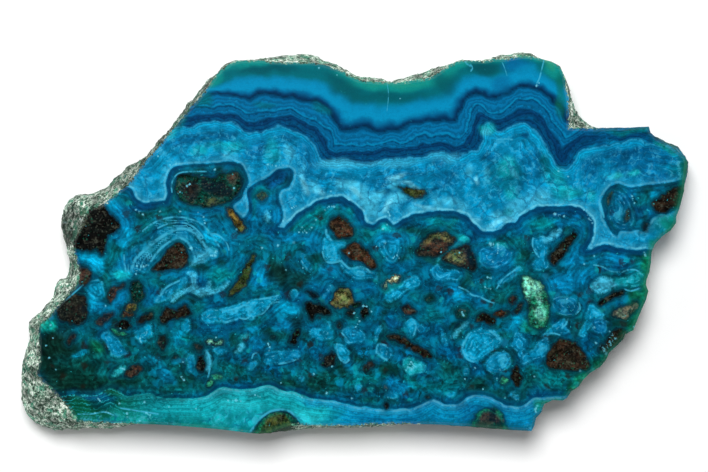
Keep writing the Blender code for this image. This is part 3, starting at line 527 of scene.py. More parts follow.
# Soft patches among the fragments, the same way
DARK_PATCHES = [
    ("sea", 130, 362, 115, 30, 0, 0.5), ("blue", 115, 212, 14, 10, -30, 0.8),
    ("azure", 110, 205, 8, 5, -30, 0.5), ("blue", 122, 232, 8, 16, 20, 0.8),
    ("azure", 125, 238, 3.5, 9, 15, 0.6), ("navy", 142, 209, 18, 4, 0, 0.7),
    ("sea", 140, 230, 14, 8, 25, 0.5), ("teal", 115, 250, 12, 12, 0, 0.5),
    ("azure", 90, 259, 12, 5, -15, 0.8), ("azure", 98, 268, 5, 8, 0, 0.7),
    ("blue", 128, 268, 12, 12, 0, 0.6), ("turquoise", 122, 273, 9, 5, 0, 0.6),
    ("sea", 175, 213, 26, 6, 0, 0.6), ("blue", 200, 216, 16, 5, 0, 0.5),
    ("deep", 210, 211, 22, 4, 0, 0.6), ("blue", 208, 228, 18, 8, 0, 0.5),
    ("azure", 213, 238, 14, 6, -15, 0.6), ("navy", 238, 205, 6, 22, 0, 0.4),
    ("deep", 252, 225, 14, 12, 0, 0.6), ("teal", 256, 204, 4, 14, -8, 0.7),
    ("blue", 263, 206, 8, 14, -8, 0.7), ("navy", 278, 178, 14, 8, 25, 0.9),
    ("navy", 250, 200, 3, 14, 0, 0.6), ("teal", 262, 190, 8, 4, 0, 0.6),
    ("blue", 278, 216, 4, 12, 0, 0.6), ("navy", 272, 232, 12, 5, 0, 0.6),
    ("teal", 310, 214, 14, 6, 30, 0.8), ("teal", 304, 226, 12, 8, 0, 0.7),
    ("teal", 320, 216, 9, 9, 0, 0.6), ("teal", 350, 214, 9, 8, -40, 0.7),
    ("navy", 356, 214, 8, 4, -50, 0.7), ("navy", 334, 201, 16, 3, 0, 0.7),
    ("blue", 290, 238, 18, 6, 0, 0.7), ("blue", 312, 242, 10, 12, 0, 0.6),
    ("turquoise", 388, 228, 9, 5, 0, 0.7), ("teal", 372, 236, 10, 8, 0, 0.6),
    ("navy", 405, 224, 12, 5, 10, 0.5), ("blue", 390, 240, 18, 8, 0, 0.6),
    ("azure", 392, 252, 12, 8, 0, 0.5), ("deep", 400, 268, 16, 8, 0, 0.6),
    ("moss", 404, 258, 9, 5, 0, 0.6), ("deep", 428, 222, 18, 5, 10, 0.5),
    ("teal", 440, 222, 16, 4, -5, 0.6), ("moss", 430, 244, 18, 14, 0, 0.6),
    ("turquoise", 462, 239, 8, 3, 0, 0.8), ("azure", 460, 259, 6, 2.5, 5, 0.85),
    ("deep", 466, 228, 10, 8, -40, 0.5), ("navy", 472, 234, 8, 10, -40, 0.6),
    ("blue", 488, 238, 12, 4, 0, 0.5), ("sea", 497, 244, 14, 6, 0, 0.7),
    ("blue", 496, 256, 20, 9, -15, 0.75), ("azure", 489, 258, 10, 6, 0, 0.6),
    ("sea", 515, 240, 18, 10, 0, 0.6), ("deep", 520, 226, 18, 9, 20, 0.5),
    ("teal", 540, 222, 14, 6, 10, 0.7), ("navy", 562, 212, 24, 5, 0, 0.7),
    ("blue", 566, 222, 14, 4, 0, 0.6), ("deep", 580, 228, 8, 14, 0, 0.6),
    ("blue", 574, 262, 12, 8, 0, 0.7), ("navy", 606, 250, 22, 4, 0, 0.8),
    ("blue", 612, 259, 22, 5, 0, 0.6), ("moss", 640, 255, 14, 7, 0, 0.7),
    ("navy", 615, 268, 22, 4, 0, 0.6), ("teal", 640, 270, 10, 8, 0, 0.6),
    ("emerald", 645, 275, 6, 20, 0, 0.6), ("blue", 570, 280, 20, 10, 0, 0.7),
    ("blue", 562, 288, 20, 6, 0, 0.5), ("sea", 560, 306, 18, 10, 0, 0.6),
    ("sea", 505, 295, 16, 12, 0, 0.7), ("sea", 488, 290, 10, 14, 0, 0.6),
    ("moss", 500, 300, 10, 6, 0, 0.5), ("blue", 455, 295, 6, 16, 15, 0.7),
    ("azure", 455, 297, 3, 8, 20, 0.6), ("deep", 435, 290, 16, 10, 0, 0.5),
    ("moss", 430, 298, 6, 5, 0, 0.7), ("deep", 475, 300, 16, 10, 0, 0.5),
    ("sea", 463, 313, 12, 9, 0, 0.7), ("blue", 520, 320, 10, 8, 0, 0.6),
    ("azure", 513, 322, 14, 4, 30, 0.6), ("emerald", 528, 325, 9, 8, 0, 0.6),
    ("emerald", 545, 318, 5, 14, 0, 0.6), ("emerald", 636, 305, 9, 22, 18, 0.85),
    ("moss", 622, 322, 12, 10, 30, 0.8), ("emerald", 632, 322, 9, 8, 30, 0.8),
    ("teal", 596, 362, 10, 8, 40, 0.6), ("emerald", 592, 366, 14, 5, 40, 0.85),
    ("emerald", 606, 352, 9, 5, 45, 0.6), ("deep", 590, 345, 12, 10, 0, 0.7),
    ("teal", 585, 378, 12, 6, 40, 0.8), ("emerald", 572, 386, 12, 4, 40, 0.8),
    ("teal", 555, 380, 20, 8, 0, 0.7), ("teal", 530, 376, 12, 12, 0, 0.5),
    ("moss", 532, 380, 12, 12, 0, 0.5), ("moss", 502, 396, 14, 8, 0, 0.6),
    ("moss", 475, 384, 18, 9, 0, 0.7), ("sea", 452, 374, 18, 10, 0, 0.7),
    ("moss", 450, 366, 8, 6, 0, 0.6), ("teal", 440, 388, 20, 7, 0, 0.6),
    ("teal", 415, 384, 16, 6, 0, 0.5), ("deep", 445, 352, 12, 8, 0, 0.6),
    ("deep", 430, 330, 14, 8, 0, 0.6), ("blue", 402, 352, 12, 6, 0, 0.4),
    ("navy", 395, 326, 8, 6, 0, 0.6), ("moss", 385, 372, 16, 6, 0, 0.6),
    ("moss", 362, 358, 14, 6, 0, 0.7), ("blue", 365, 350, 10, 8, 0, 0.6),
    ("deep", 320, 352, 16, 8, 0, 0.5), ("moss", 335, 372, 14, 8, 0, 0.6),
    ("moss", 320, 380, 18, 9, 0, 0.7), ("teal", 350, 380, 20, 7, 0, 0.6),
    ("teal", 372, 378, 14, 6, 0, 0.6), ("blue", 400, 388, 14, 7, 0, 0.6),
    ("sea", 300, 372, 20, 8, 0, 0.6), ("moss", 280, 384, 22, 5, 0, 0.6),
    ("moss", 265, 376, 12, 5, 0, 0.5), ("moss", 240, 368, 8, 9, 0, 0.7),
    ("sea", 230, 372, 18, 10, 0, 0.6), ("deep", 235, 360, 20, 6, 0, 0.5),
    ("blue", 260, 340, 14, 6, 0, 0.5), ("moss", 272, 338, 14, 7, 0, 0.5),
    ("night", 295, 320, 8, 14, 20, 0.6), ("night", 315, 308, 18, 9, 10, 0.5),
    ("night", 280, 272, 12, 14, 0, 0.75), ("night", 300, 280, 12, 9, 0, 0.6),
    ("navy", 300, 300, 12, 8, 0, 0.5), ("deep", 335, 278, 20, 8, 0, 0.5),
    ("blue", 330, 270, 10, 6, 0, 0.6), ("deep", 364, 290, 14, 8, 0, 0.5),
    ("turquoise", 392, 287, 9, 4, 15, 0.8), ("azure", 285, 310, 12, 9, 0, 0.6),
    ("blue", 282, 325, 10, 6, 0, 0.6), ("blue", 254, 328, 16, 4, 5, 0.5),
    ("sea", 120, 362, 60, 26, 0, 0.45), ("moss", 130, 384, 60, 8, 0, 0.5),
    ("moss", 612, 343, 42, 10, 50, 0.55), ("emerald", 617, 348, 42, 4, 50, 0.6),
    ("moss", 638, 300, 28, 9, 75, 0.5), ("emerald", 643, 298, 28, 4, 75, 0.6),
    ("moss", 571, 381, 28, 9, 35, 0.5), ("emerald", 577, 385, 28, 4, 35, 0.6),
    ("emerald", 646, 268, 4, 16, 0, 0.6), ("deep", 220, 330, 24, 6, 0, 0.6),
    ("deep", 215, 300, 14, 8, 0, 0.5), ("blue", 258, 276, 8, 14, 10, 0.7),
    ("azure", 262, 268, 6, 8, 0, 0.4), ("teal", 222, 274, 16, 7, 0, 0.7),
    ("deep", 201, 281, 8, 7, 0, 0.9), ("blue", 176, 272, 30, 5, 0, 0.5), ("sea", 155, 280, 10, 9, 0, 0.6),
    ("blue", 232, 240, 12, 10, 0, 0.4), ("navy", 70, 262, 12, 8, 0, 0.4),
    ("blue", 100, 308, 12, 8, 0, 0.6), ("azure", 92, 302, 6, 10, 0, 0.5),
    ("blue", 120, 300, 8, 14, -25, 0.7), ("blue", 148, 302, 6, 7, 0, 0.7),
    ("night", 68, 300, 16, 14, 30, 0.7), ("night", 48, 356, 12, 34, 0, 0.95),
    ("night", 62, 380, 18, 16, 0, 0.9), ("night", 60, 345, 18, 20, 0, 0.85),
    ("night", 82, 384, 22, 9, 0, 0.75), ("green_teal", 47, 324, 8, 6, 20, 0.95),
    ("moss", 84, 370, 20, 16, 0, 0.6), ("moss", 120, 382, 24, 6, 0, 0.75),
    ("moss", 96, 346, 10, 10, 0, 0.7), ("emerald", 98, 345, 8, 6, -40, 0.6),
    ("azure", 78, 353, 7, 3, 35, 0.7), ("sea", 170, 388, 24, 7, 0, 0.9),
    ("moss", 182, 380, 14, 8, 0, 0.6), ("sea", 150, 384, 16, 8, 0, 0.5),
    ("deep", 150, 360, 12, 8, 0, 0.5), ("blue", 166, 374, 7, 10, 30, 0.6),
    ("azure", 155, 360, 6, 3, 0, 0.7), ("azure", 177, 362, 4, 3, 0, 0.7),
    ("moss", 160, 352, 12, 8, 0, 0.5), ("teal", 188, 338, 8, 8, 0, 0.7),
    ("azure", 180, 334, 8, 4, 10, 0.4), ("navy", 640, 208, 8, 14, 0, 0.6),
    ("azure", 655, 195, 6, 3, 0, 0.7), ("sea", 640, 198, 8, 8, 0, 0.6), ("moss", 672, 184, 14, 3, 0, 0.7),
    ("emerald", 684, 186, 5, 8, 0, 0.6), ("moss", 276, 412, 22, 3, 0, 0.5),
    ("moss", 118, 366, 100, 26, 0, 0.26),
]

# Thin pale lines, as (half width, line)
THREADS = [
    (0.6, [655, 131, 661, 137, 668, 141]),
    (1.0, [670, 142, 677, 146, 683, 151]),
    (0.7, [687.5, 158, 689.5, 168, 689, 178, 686, 187]),
    (0.7, [544.5, 58, 542, 68, 539.5, 78, 537, 83]),
    (0.35, [387, 82, 388.5, 95, 387, 111]),
    (0.5, [502, 62, 505, 69, 507, 76]),
    (0.8, [464.5, 59, 466, 63, 470, 66]),
    (0.7, [470.5, 64, 472.5, 68, 471, 71]),
    (0.9, [497, 140, 503, 139, 512, 139.5]),
    (0.8, [172, 192, 171.5, 184, 175, 176.5, 181, 172.5, 193, 171.5, 206, 171.5]),
    (1.6, [131.5, 271, 135, 260, 145, 250, 157, 240, 170, 232, 180, 228.5, 193, 231.5, 201.5, 241,
        207, 248, 216, 254]),
    (0.9, [143, 231, 150, 225, 160, 220, 170, 217.5, 180, 217, 190, 219, 200, 223, 207, 229, 213, 237,
        219, 246]),
    (0.9, [158, 228, 167, 224, 178, 222.5, 188, 224, 196, 229, 203, 237]),
    (1.2, [151, 261, 156, 254, 163, 246.5, 170, 241.5, 177, 238, 184, 239.5, 189, 244, 193, 252, 196, 262]),
    (0.9, [140, 270, 143, 261, 149, 254]),
    (0.8, [208, 233, 216, 234, 222, 238, 227, 244, 229, 250]),
    (1.0, [156, 301, 161, 295, 166, 288, 172, 284, 179, 281]),
    (0.8, [171, 302, 176, 297, 184, 293]),
    (1.0, [222, 311, 229, 309.5, 236, 309, 243, 305.5, 249, 302.5]),
    (1.1, [220, 318.5, 224, 322.3, 230, 321, 236, 319.5]),
    (0.9, [240, 318, 246, 319, 250, 315.5]),
    (0.9, [256, 299.5, 266, 298.3, 273, 297, 278, 295.5]),
    (0.8, [279, 302, 272, 303, 267, 309, 262, 314, 253, 317]),
    (1.1, [341, 260.5, 346, 266, 351, 269, 358, 267, 364, 267.5, 370, 271.5]),
    (1.2, [326, 230, 327, 236, 331, 240]),
    (0.9, [322.5, 252, 325, 260, 330, 263, 337, 262, 341, 260.5]),
    (0.9, [329, 257, 336, 258]),
    (0.9, [337, 344, 337.5, 352, 340, 359, 345, 363, 349, 360]),
    (1.0, [376.5, 353, 377, 347, 380, 344, 386, 345.5]),
    (1.1, [379, 354, 383, 358, 386.5, 359.5]),
    (0.9, [342, 333, 346, 338, 349, 342]),
    (0.9, [413, 321, 416, 327, 414, 334]),
    (1.2, [462, 347, 465, 341, 469, 334]),
    (1.2, [490, 331, 496, 335, 500, 339.5]),
    (0.8, [463, 350, 467, 359, 474, 362]),
    (0.9, [459, 287, 466, 290, 472, 295, 480, 297, 487, 300.5, 494, 303]),
    (0.8, [497, 288, 503, 279, 512, 272, 520, 267]),
    (0.9, [207.5, 352, 210, 360, 210, 368, 208, 377]),
    (0.8, [533, 238, 532.5, 245, 535, 252, 539, 257]),
    (1.3, [543, 237, 548, 238.5, 552, 235]),
    (0.8, [594, 265, 602, 266.5, 610, 271, 618, 272]),
    (0.8, [622, 272, 628, 270, 636, 270, 641, 274]),
    (0.9, [562, 328, 566, 324, 568, 319]),
    (0.8, [545, 334, 552, 333, 560, 335]),
    (0.8, [576, 314, 580, 309, 579, 303]),
    (0.9, [625, 289, 631, 291, 640, 288]),
    (1.1, [600, 203, 602, 210, 604, 217]),
    (0.8, [66, 300, 74, 293, 83, 285]),
    (0.8, [124, 255, 124.5, 263, 126, 272]),
    (0.8, [279, 364, 288, 362.5, 298, 359]),
    (0.8, [252, 358, 253.5, 354, 257, 353]),
    (0.8, [113, 415, 104, 412, 92, 414, 78, 414]),
    (0.8, [120, 408, 132, 410, 145, 412, 158, 414]),
    (1.2, [249, 433, 254, 427, 258.5, 420, 264.5, 415, 271, 411.2, 280, 409.7, 288, 410.7, 294, 414.7,
        298.5, 420]),
]

# Bright flecks and grains, as (radius, middles)
FLECKS = [
    (0.9, [400, 98.5, 302, 397.5, 86, 226]),
    (1.0, [337, 75, 539, 83, 397, 255, 497.5, 253, 198, 212.5, 148, 265, 355.5, 327, 356, 326.5, 241, 401,
        73, 229, 303, 268]),
    (1.1, [296, 206, 325, 210, 299, 232, 376.5, 246.5, 367, 306.5, 53, 338, 98, 398.5, 100, 401,
        196, 408.7, 169, 407, 465, 379, 81, 219]),
    (1.2, [161, 150, 276, 166, 283, 165, 388, 212, 390, 216, 568, 176.5, 329, 206.5, 316, 220, 302, 227.5,
        306.5, 232.5, 387, 225, 393, 258, 399, 258, 349, 253, 498, 248.5, 491, 278, 485, 287, 441, 252,
        644, 252.5, 180, 192, 190, 184, 371.5, 311.5, 462, 312, 414, 365.5, 406, 370, 602.5, 347.5,
        567, 299, 56, 369.5, 141, 342, 120.5, 328.5, 183, 362, 216, 337.5, 228, 400.5, 95, 413, 127.5, 417,
        255, 395, 260, 397, 497, 378.5, 483, 389, 500, 370, 269, 350.5, 281, 383]),
    (1.3, [158, 156, 170, 165, 319, 68, 558.5, 171, 283, 221, 490.5, 288.7, 594, 256, 634.5, 203,
        203.5, 217, 136, 210, 136, 274, 611, 345, 609.5, 331.5, 536, 412, 46, 345.5, 105.5, 306,
        110, 413.5, 140, 421, 475, 368, 270, 347, 286, 270]),
    (1.4, [268, 164.5, 331, 191.5, 542, 197, 292, 208, 493, 261.5, 459.5, 252.7, 592.5, 223, 584, 210,
        584.3, 264, 211, 255.5, 180, 211.5, 205, 223, 236.5, 229.5, 234, 188, 411, 362, 594.5, 327.3,
        537.5, 406, 352, 398.5, 314, 374, 332, 366.5, 106, 412, 127, 413, 146, 413, 150, 415, 505, 397.5,
        268, 343.5]),
    (1.5, [536.5, 86, 498, 217, 312, 227.5, 487.5, 277.3, 564, 216.3, 632, 196, 160, 211.5, 262, 248,
        137, 266, 354, 313, 359.5, 321.5, 408, 367, 596, 343, 50.5, 325, 181.5, 377, 119.5, 403.5,
        534.5, 376.5, 70, 221]),
    (1.6, [215, 169.5, 383, 229, 589, 218.3, 645.5, 255.5, 187, 186, 463.5, 315.5, 412, 369, 49, 358,
        121, 368.5, 124, 369, 140, 338.7, 184, 380]),
    (1.7, [334, 206.5, 363, 306]),
    (1.8, [224, 155.5, 278, 245.5, 293.5, 242.5, 143, 214.5, 615.5, 338.7, 610, 342, 580, 371, 535.5, 409,
        326.5, 393, 209, 343.5, 236, 400.3, 144.5, 402.3]),
    (1.9, [385, 242.5, 498, 244.7, 216, 251.5, 143.5, 266.5]),
    (2.0, [215, 255.5, 606.5, 353.5, 634.5, 327]),
    (2.2, [555, 214.3, 191, 248, 604, 350]),
    (2.4, [490.5, 244]),
]

# Boxes of the picture, as (left, top, right, bottom), where the slab's outline is rind
RIND_REACHES = [(0, 0, 556, 84.5), (0, 0, 215, 421.5), (0, 421, 132, 440), (557, 60, 601, 131),
                (290, 422, 412, 440)]

# A thread or fleck shows where its field is under 1, and its plain distance under this
FIELD_REACH = 2.8
FULL_TURN = 6.2832


def linear(value):
    """Turns an 8-bit sRGB value into a linear one."""
    share = value / 255
    return share / 12.92 if share <= 0.04045 else ((share + 0.055) / 1.055) ** 2.4


def tone(name):
    """Gives a named tone as a linear colour."""
    return tuple(linear(v) for v in TONES[name]) + (1.0,)


def smooth_curve(points, closed=False, steps=3):
    """Runs a smooth curve through points given as x, y, x, y and so on, as an array of points."""
    p = np.array(points, dtype=float).reshape(-1, 2)
    count = len(p)
    if closed:
        index = np.arange(count)
        before, after, beyond = p[index - 1], p[(index + 1) % count], p[(index + 2) % count]
        here = p
    else:
        padded = np.vstack([p[0], p, p[-1]])
        before, here, after, beyond = padded[:-3], padded[1:-2], padded[2:-1], padded[3:]
    rows = []
    for n in range(steps):
        t = n / steps
        rows.append(
            0.5 * (2 * here + (after - before) * t
                   + (2 * before - 5 * here + 4 * after - beyond) * t ** 2
                   + (3 * here - before - 3 * after + beyond) * t ** 3)
        )
    curve = np.stack(rows, axis=1).reshape(-1, 2)
    return curve if closed else np.vstack([curve, p[-1]])


def offset_to(spots, curve, closed=False):
    """Finds the shortest step from each spot to a curve, as x, y and length."""
    starts = curve
    ends = np.roll(curve, -1, axis=0)
    if not closed:
        starts, ends = curve[:-1], curve[1:]
    best = np.full(len(spots), 1e9)
    step_x = np.zeros(len(spots))
    step_y = np.zeros(len(spots))
    for (ax, ay), (bx, by) in zip(starts, ends):
        run_x, run_y = bx - ax, by - ay
        length = max(run_x * run_x + run_y * run_y, 1e-12)
        from_x, from_y = spots[:, 0] - ax, spots[:, 1] - ay
        share = np.clip((from_x * run_x + from_y * run_y) / length, 0, 1)
        from_x -= share * run_x
        from_y -= share * run_y
        apart = from_x * from_x + from_y * from_y
        nearer = apart < best
        best[nearer] = apart[nearer]
        step_x[nearer] = from_x[nearer]
        step_y[nearer] = from_y[nearer]
    return step_x, step_y, np.sqrt(best)


def inside(spots, curve):
    """Tells which spots lie within a closed curve."""
    held = np.zeros(len(spots), dtype=bool)
    for (ax, ay), (bx, by) in zip(curve, np.roll(curve, -1, axis=0)):
        if ay == by:
            continue
        spans = (ay > spots[:, 1]) != (by > spots[:, 1])
        crossing = ax + (spots[:, 1] - ay) * (bx - ax) / (by - ay)
        held ^= spans & (spots[:, 0] < crossing)
    return held


def depth_in(spots, curve):
    """Distance in from a closed curve, in pixels, negative outside it."""
    reach = offset_to(spots, curve, closed=True)[2]
    return np.where(inside(spots, curve), reach, -reach)


def near(spots, curve, margin):
    """Picks the spots within a margin of a curve's own box."""
    low, high = curve.min(0) - margin, curve.max(0) + margin
    return np.nonzero(((spots >= low) & (spots <= high)).all(1))[0]


def drift(spots, size, amount, seed):
    """Moves the spots about by smooth noise, in pixels."""
    moved = spots.copy()
    for n, (x, y) in enumerate(spots):
        push = noise.noise_vector(Vector((x / size, y / size, seed)))
        moved[n, 0] += push.x * amount
        moved[n, 1] += push.y * amount
    return moved


def paint_patches(colours, spots, patches):
    """Lays soft patches of tone over the colours, in order."""
    for name, x, y, half_length, half_width, tilt, strength in patches:
        reach = 1.5 * max(half_length, half_width)
        found = near(spots, np.array([[x, y]]), reach)
        dx, dy = spots[found, 0] - x, spots[found, 1] - y
        turn = radians(tilt)
        along = (dx * cos(turn) - dy * sin(turn)) / half_length
        across = (dx * sin(turn) + dy * cos(turn)) / half_width
        share = (min(1.0, 1.25 * strength) * np.exp(-(along ** 2 + across ** 2) ** 2))[:, None]
        colours[found] = colours[found] * (1 - share) + np.array(tone(name)[:3]) * share


def growth_of(spots):
    """Steps of growth down from the top line, and how far apart the lines are, in pixels."""
    below = []
    apart = []
    for line in GROWTH_LINES:
        curve = smooth_curve(line)
        reach = offset_to(spots, curve)[2]
        order = np.maximum.accumulate(curve[:, 0])
        level = np.interp(spots[:, 0], order, curve[:, 1])
        below.append(spots[:, 1] > level)
        apart.append(reach)
    growth = -apart[0] / BEYOND
    gap = np.full(len(spots), BEYOND)
    for n in range(len(GROWTH_LINES) - 1):
        between = apart[n] + apart[n + 1] + 1e-6
        here = below[n]
        growth = np.where(here, n + apart[n] / between, growth)
        gap = np.where(here, between, gap)
    last = len(GROWTH_LINES) - 1
    growth = np.where(below[last], last + apart[last] / BEYOND, growth)
    gap = np.where(below[last], BEYOND, gap)
    return growth, gap


def graded(values, stops):
    """Colours between stops given as (value, tone)."""
    steps = [step for step, _ in stops]
    tones = np.array([tone(name)[:3] for _, name in stops])
    return np.stack([np.interp(values, steps, tones[:, n]) for n in range(3)], axis=1)


def light_ground_of(spots, growth):
    """Broad colours of the banded top, the pale middle zone and the hem."""
    colours = graded(growth, GROWTH_TONES)
    low = spots[:, 1] > HEM_TOP
    colours[low] = graded(spots[low, 0], HEM_TONES)
    paint_patches(colours, spots, LIGHT_PATCHES)
    return colours


def dark_ground_of(spots):
    """Broad colours among the fragments."""
    colours = np.empty((len(spots), 3))
    base, other, third = tone("sea"), tone("deep"), tone("moss")
    for n, (x, y) in enumerate(spots):
        mix = min(1.0, max(0.0, 0.5 + 0.9 * noise.noise(Vector((x / 19, y / 19, 3.1)))))
        dim = min(0.8, max(0.0, 1.7 * noise.noise(Vector((x / 12, y / 12, 9.4)))))
        colours[n] = [
            (base[c] * (1 - mix) + other[c] * mix) * (1 - dim) + third[c] * dim for c in range(3)
        ]
    paint_patches(colours, spots, DARK_PATCHES)
    return colours


def isle_of(spots):
    """Depth into the fragment zones, and where their pale rim is bright."""
    left = smooth_curve(LEFT_EDGE)
    scallops = smooth_curve(SCALLOPS)
    right = smooth_curve(RIGHT_SCALLOP)
    hem = smooth_curve(HEM_EDGE)[::-1]
    # The zone runs along the edges and closes beyond the slab's left and right ends
    zone = np.vstack([left, scallops, right, [(700, 395)], hem, [(0, 398), (0, 186)]])
    depth = depth_in(spots, zone)
    for outline in (RIGHT_ISLAND, HALF_DOME):
        depth = np.maximum(depth, depth_in(spots, smooth_curve(outline, closed=True)))
    glow = np.zeros(len(spots))
    hem_glow = np.clip((spots[:, 0] - 170) / 90, 0.05, 0.5)
    for curve, share in ((scallops, 1.0), (right, 0.9), (left[:LEFT_TURN], 0.85),
                         (left[LEFT_TURN:], 0.45), (hem, hem_glow), (smooth_curve(RIGHT_ISLAND), 0.4)):
        reach = offset_to(spots, curve)[2]
        glow = np.maximum(glow, share * np.clip(2 - reach / 4, 0, 1))
    return depth, glow, offset_to(spots, hem)[2]


def shapes_of(spots, shapes, margin=24):
    """Depth into the deepest or nearest shape, and its tone with its strength."""
    depth = np.full(len(spots), -float(margin))
    tints = np.zeros((len(spots), 4))
    tints[:, :3] = tone("brown")[:3]
    for name, strength, outline in shapes:
        curve = smooth_curve(outline, closed=True)
        found = near(spots, curve, margin)
        own = depth_in(spots[found], curve)
        before = depth[found]
        share = np.where(before > 0, np.clip(0.5 + own / 3, 0, 1), own > before)[:, None]
        new_tint = np.array([*tone(name)[:3], strength])
        tints[found] = tints[found] * (1 - share) + new_tint * share
        depth[found] = np.maximum(before, own)
    return depth, tints


def threads_of(spots):
    """Step to the nearest thin line and the plain distance to it, in its half widths."""
    best = np.full(len(spots), 12.0)
    field = np.full((len(spots), 3), 20.0)
    for half_width, points in THREADS:
        curve = smooth_curve(points)
        found = near(spots, curve, 10)
        step_x, step_y, reach = offset_to(spots[found], curve)
        nearer = reach < best[found]
        chosen = found[nearer]
        best[chosen] = reach[nearer]
        field[chosen, 0] = step_x[nearer] / half_width
        field[chosen, 1] = step_y[nearer] / half_width
        field[chosen, 2] = reach[nearer] / half_width
    return field


def flecks_of(spots):
    """Step to the nearest bright fleck and the plain distance to it, in its radii."""
    flecks = [(x, y, radius) for radius, run in FLECKS for x, y in np.reshape(run, (-1, 2))]
    tree = kdtree.KDTree(len(flecks))
    for n, (x, y, _) in enumerate(flecks):
        tree.insert((x, y, 0), n)
    tree.balance()
    field = np.empty((len(spots), 3))
    for n, (x, y) in enumerate(spots):
        place, index, reach = tree.find((x, y, 0))
        radius = flecks[index][2]
        field[n] = ((x - place.x) / radius, (y - place.y) / radius, reach / radius)
    return field


def sheet_of(bm, face_height, tolerance=1e-5):
    """Picks the flat faces at one height."""
    return [
        f for f in bm.faces
        if abs(f.normal.z) > FLAT and abs(f.calc_center_median().z - face_height) < tolerance
    ]


def cut_across(bm, faces, axis, low, high, step):
    """Cuts the faces into strips, sweeping a plane along an axis."""
    normal = Vector((0, 0, 0))
    normal[axis] = 1
    count = max(1, round((high - low) / step))
    done = []
    ahead = faces
    for n in range(1, count):
        level = low + (high - low) * n / count
        verts = {v for f in ahead for v in f.verts}
        edges = {e for f in ahead for e in f.edges}
        cut = bmesh.ops.bisect_plane(
            bm, geom=[*verts, *edges, *ahead], dist=1e-8, plane_co=normal * level, plane_no=normal
        )
        ahead = []
        for f in cut["geom"]:
            if isinstance(f, bmesh.types.BMFace):
                mean = sum(v.co[axis] for v in f.verts) / len(f.verts)
                (ahead if mean > level else done).append(f)
    return done + ahead


def is_rind_at(x, y):
    """Tells from the picture whether the slab's outline is rind at a place."""
    across = MIDDLE[0] + x / PIXEL
    down = MIDDLE[1] - y / PIXEL
    return any(
        left <= across <= right and top <= down <= bottom
        for left, top, right, bottom in RIND_REACHES
    )


def rind_tree(loop):
    """Makes a lookup of the face's own edge, with its flag for rind at each point."""
    tree = kdtree.KDTree(len(loop))
    flags = []
    for n, co in enumerate(loop):
        tree.insert((co.x, co.y, 0), n)
        flags.append(1.0 if is_rind_at(co.x, co.y) else 0.0)
    tree.balance()
    return tree, flags


def rind_share(tree, flags, co, count=SHAPE_POINTS):
    """How far a place on the side is rind, from the nearest points of the face's edge."""
    found = tree.find_n((co.x, co.y, 0), count)
    return sum(flags[index] for _, index, _ in found) / len(found)


def rough_push(co, rind, settings):
    """How far a place on the side goes in, for crust on the rind and chips on the breaks."""
    p = co * 1000
    crust = noise.fractal(p * 1.3, 0.9, 2.1, 4) + 0.6 * noise.noise(p * 3.1)
    chips = noise.fractal(p * 1.19, 1.0, 2.0, 3)
    crust_push = settings.crust_depth * min(1.0, max(0.0, 0.5 + 0.5 * crust))
    chip_push = settings.chip_depth * min(1.0, max(0.0, 0.5 + 0.6 * chips))
    return crust_push * rind + chip_push * (1 - rind)


def cut_slab(settings):
    """Cuts the slab's mesh finely enough to carry its colours and its crust."""
    bm = bmesh.new()
    bm.from_mesh(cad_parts["slab"].data)
    bmesh.ops.remove_doubles(bm, verts=bm.verts, dist=WELD)
    bmesh.ops.dissolve_limit(
        bm, angle_limit=SAME_PLANE, verts=bm.verts, edges=bm.edges, use_dissolve_boundaries=False
    )
    flat = set(sheet_of(bm, SLAB_HIGH.z)) | set(sheet_of(bm, SLAB_LOW.z))
    side = [f for f in bm.faces if f not in flat]
    bmesh.ops.join_triangles(bm, faces=side, angle_face_threshold=0.9, angle_shape_threshold=1.5)
    side_edges = list({e for f in bm.faces if f not in flat for e in f.edges})
    bmesh.ops.subdivide_edges(bm, edges=side_edges, cuts=settings.side_cuts, use_grid_fill=True)
    for height, cell in ((SLAB_HIGH.z, settings.face_cell), (SLAB_LOW.z, settings.back_cell)):
        faces = cut_across(bm, sheet_of(bm, height), 1, SLAB_LOW.y, SLAB_HIGH.y, cell)
        cut_across(bm, faces, 0, SLAB_LOW.x, SLAB_HIGH.x, cell)
    bmesh.ops.triangulate(bm, faces=bm.faces)
    bmesh.ops.recalc_face_normals(bm, faces=bm.faces)
    return bm


def roughen_sides(bm, settings):
    """Pushes the rind and the breaks in, and crumbles the edge of the polished face."""
    bm.normal_update()
    on_top = {v for f in sheet_of(bm, SLAB_HIGH.z) for v in f.verts}
    on_back = {v for f in sheet_of(bm, SLAB_LOW.z) for v in f.verts}
    rim = [v for v in on_top if any(abs(f.normal.z) < FLAT for f in v.link_faces)]
    tree, flags = rind_tree([v.co for v in rim])
    for v in bm.verts:
        if v in on_top or v in on_back:
            continue
        share = rind_share(tree, flags, v.co)
        fade = min(1.0, (SLAB_HIGH.z - v.co.z) / FACE_FADE, (v.co.z - SLAB_LOW.z) / BACK_FADE)
        inward = Vector((v.normal.x, v.normal.y, UPWARD_SHARE * v.normal.z))
        v.co -= inward * rough_push(v.co, share, settings) * max(0.0, fade)
    for v in rim:
        share = rind_share(tree, flags, v.co)
        p = v.co * 1000
        crumb = noise.noise(p * 1.9) + 0.7 * noise.noise(p * 4.3)
        drop = settings.crumb_depth * (0.25 + max(0.0, crumb)) * (1.0 if share > 0.5 else 0.7)
        v.co.z -= drop
    for v in bm.verts:
        for axis in range(3):
            v.co[axis] = min(SLAB_HIGH[axis], max(SLAB_LOW[axis], v.co[axis]))
    return on_top, on_back, tree, flags


def add_numbers(mesh, name, values, kind="FLOAT", part="value"):
    """Keeps one number, vector or colour for each point of a mesh."""
    layer = mesh.attributes.new(name, kind, "POINT")
    layer.data.foreach_set(part, np.ascontiguousarray(values, dtype=np.float32).ravel())


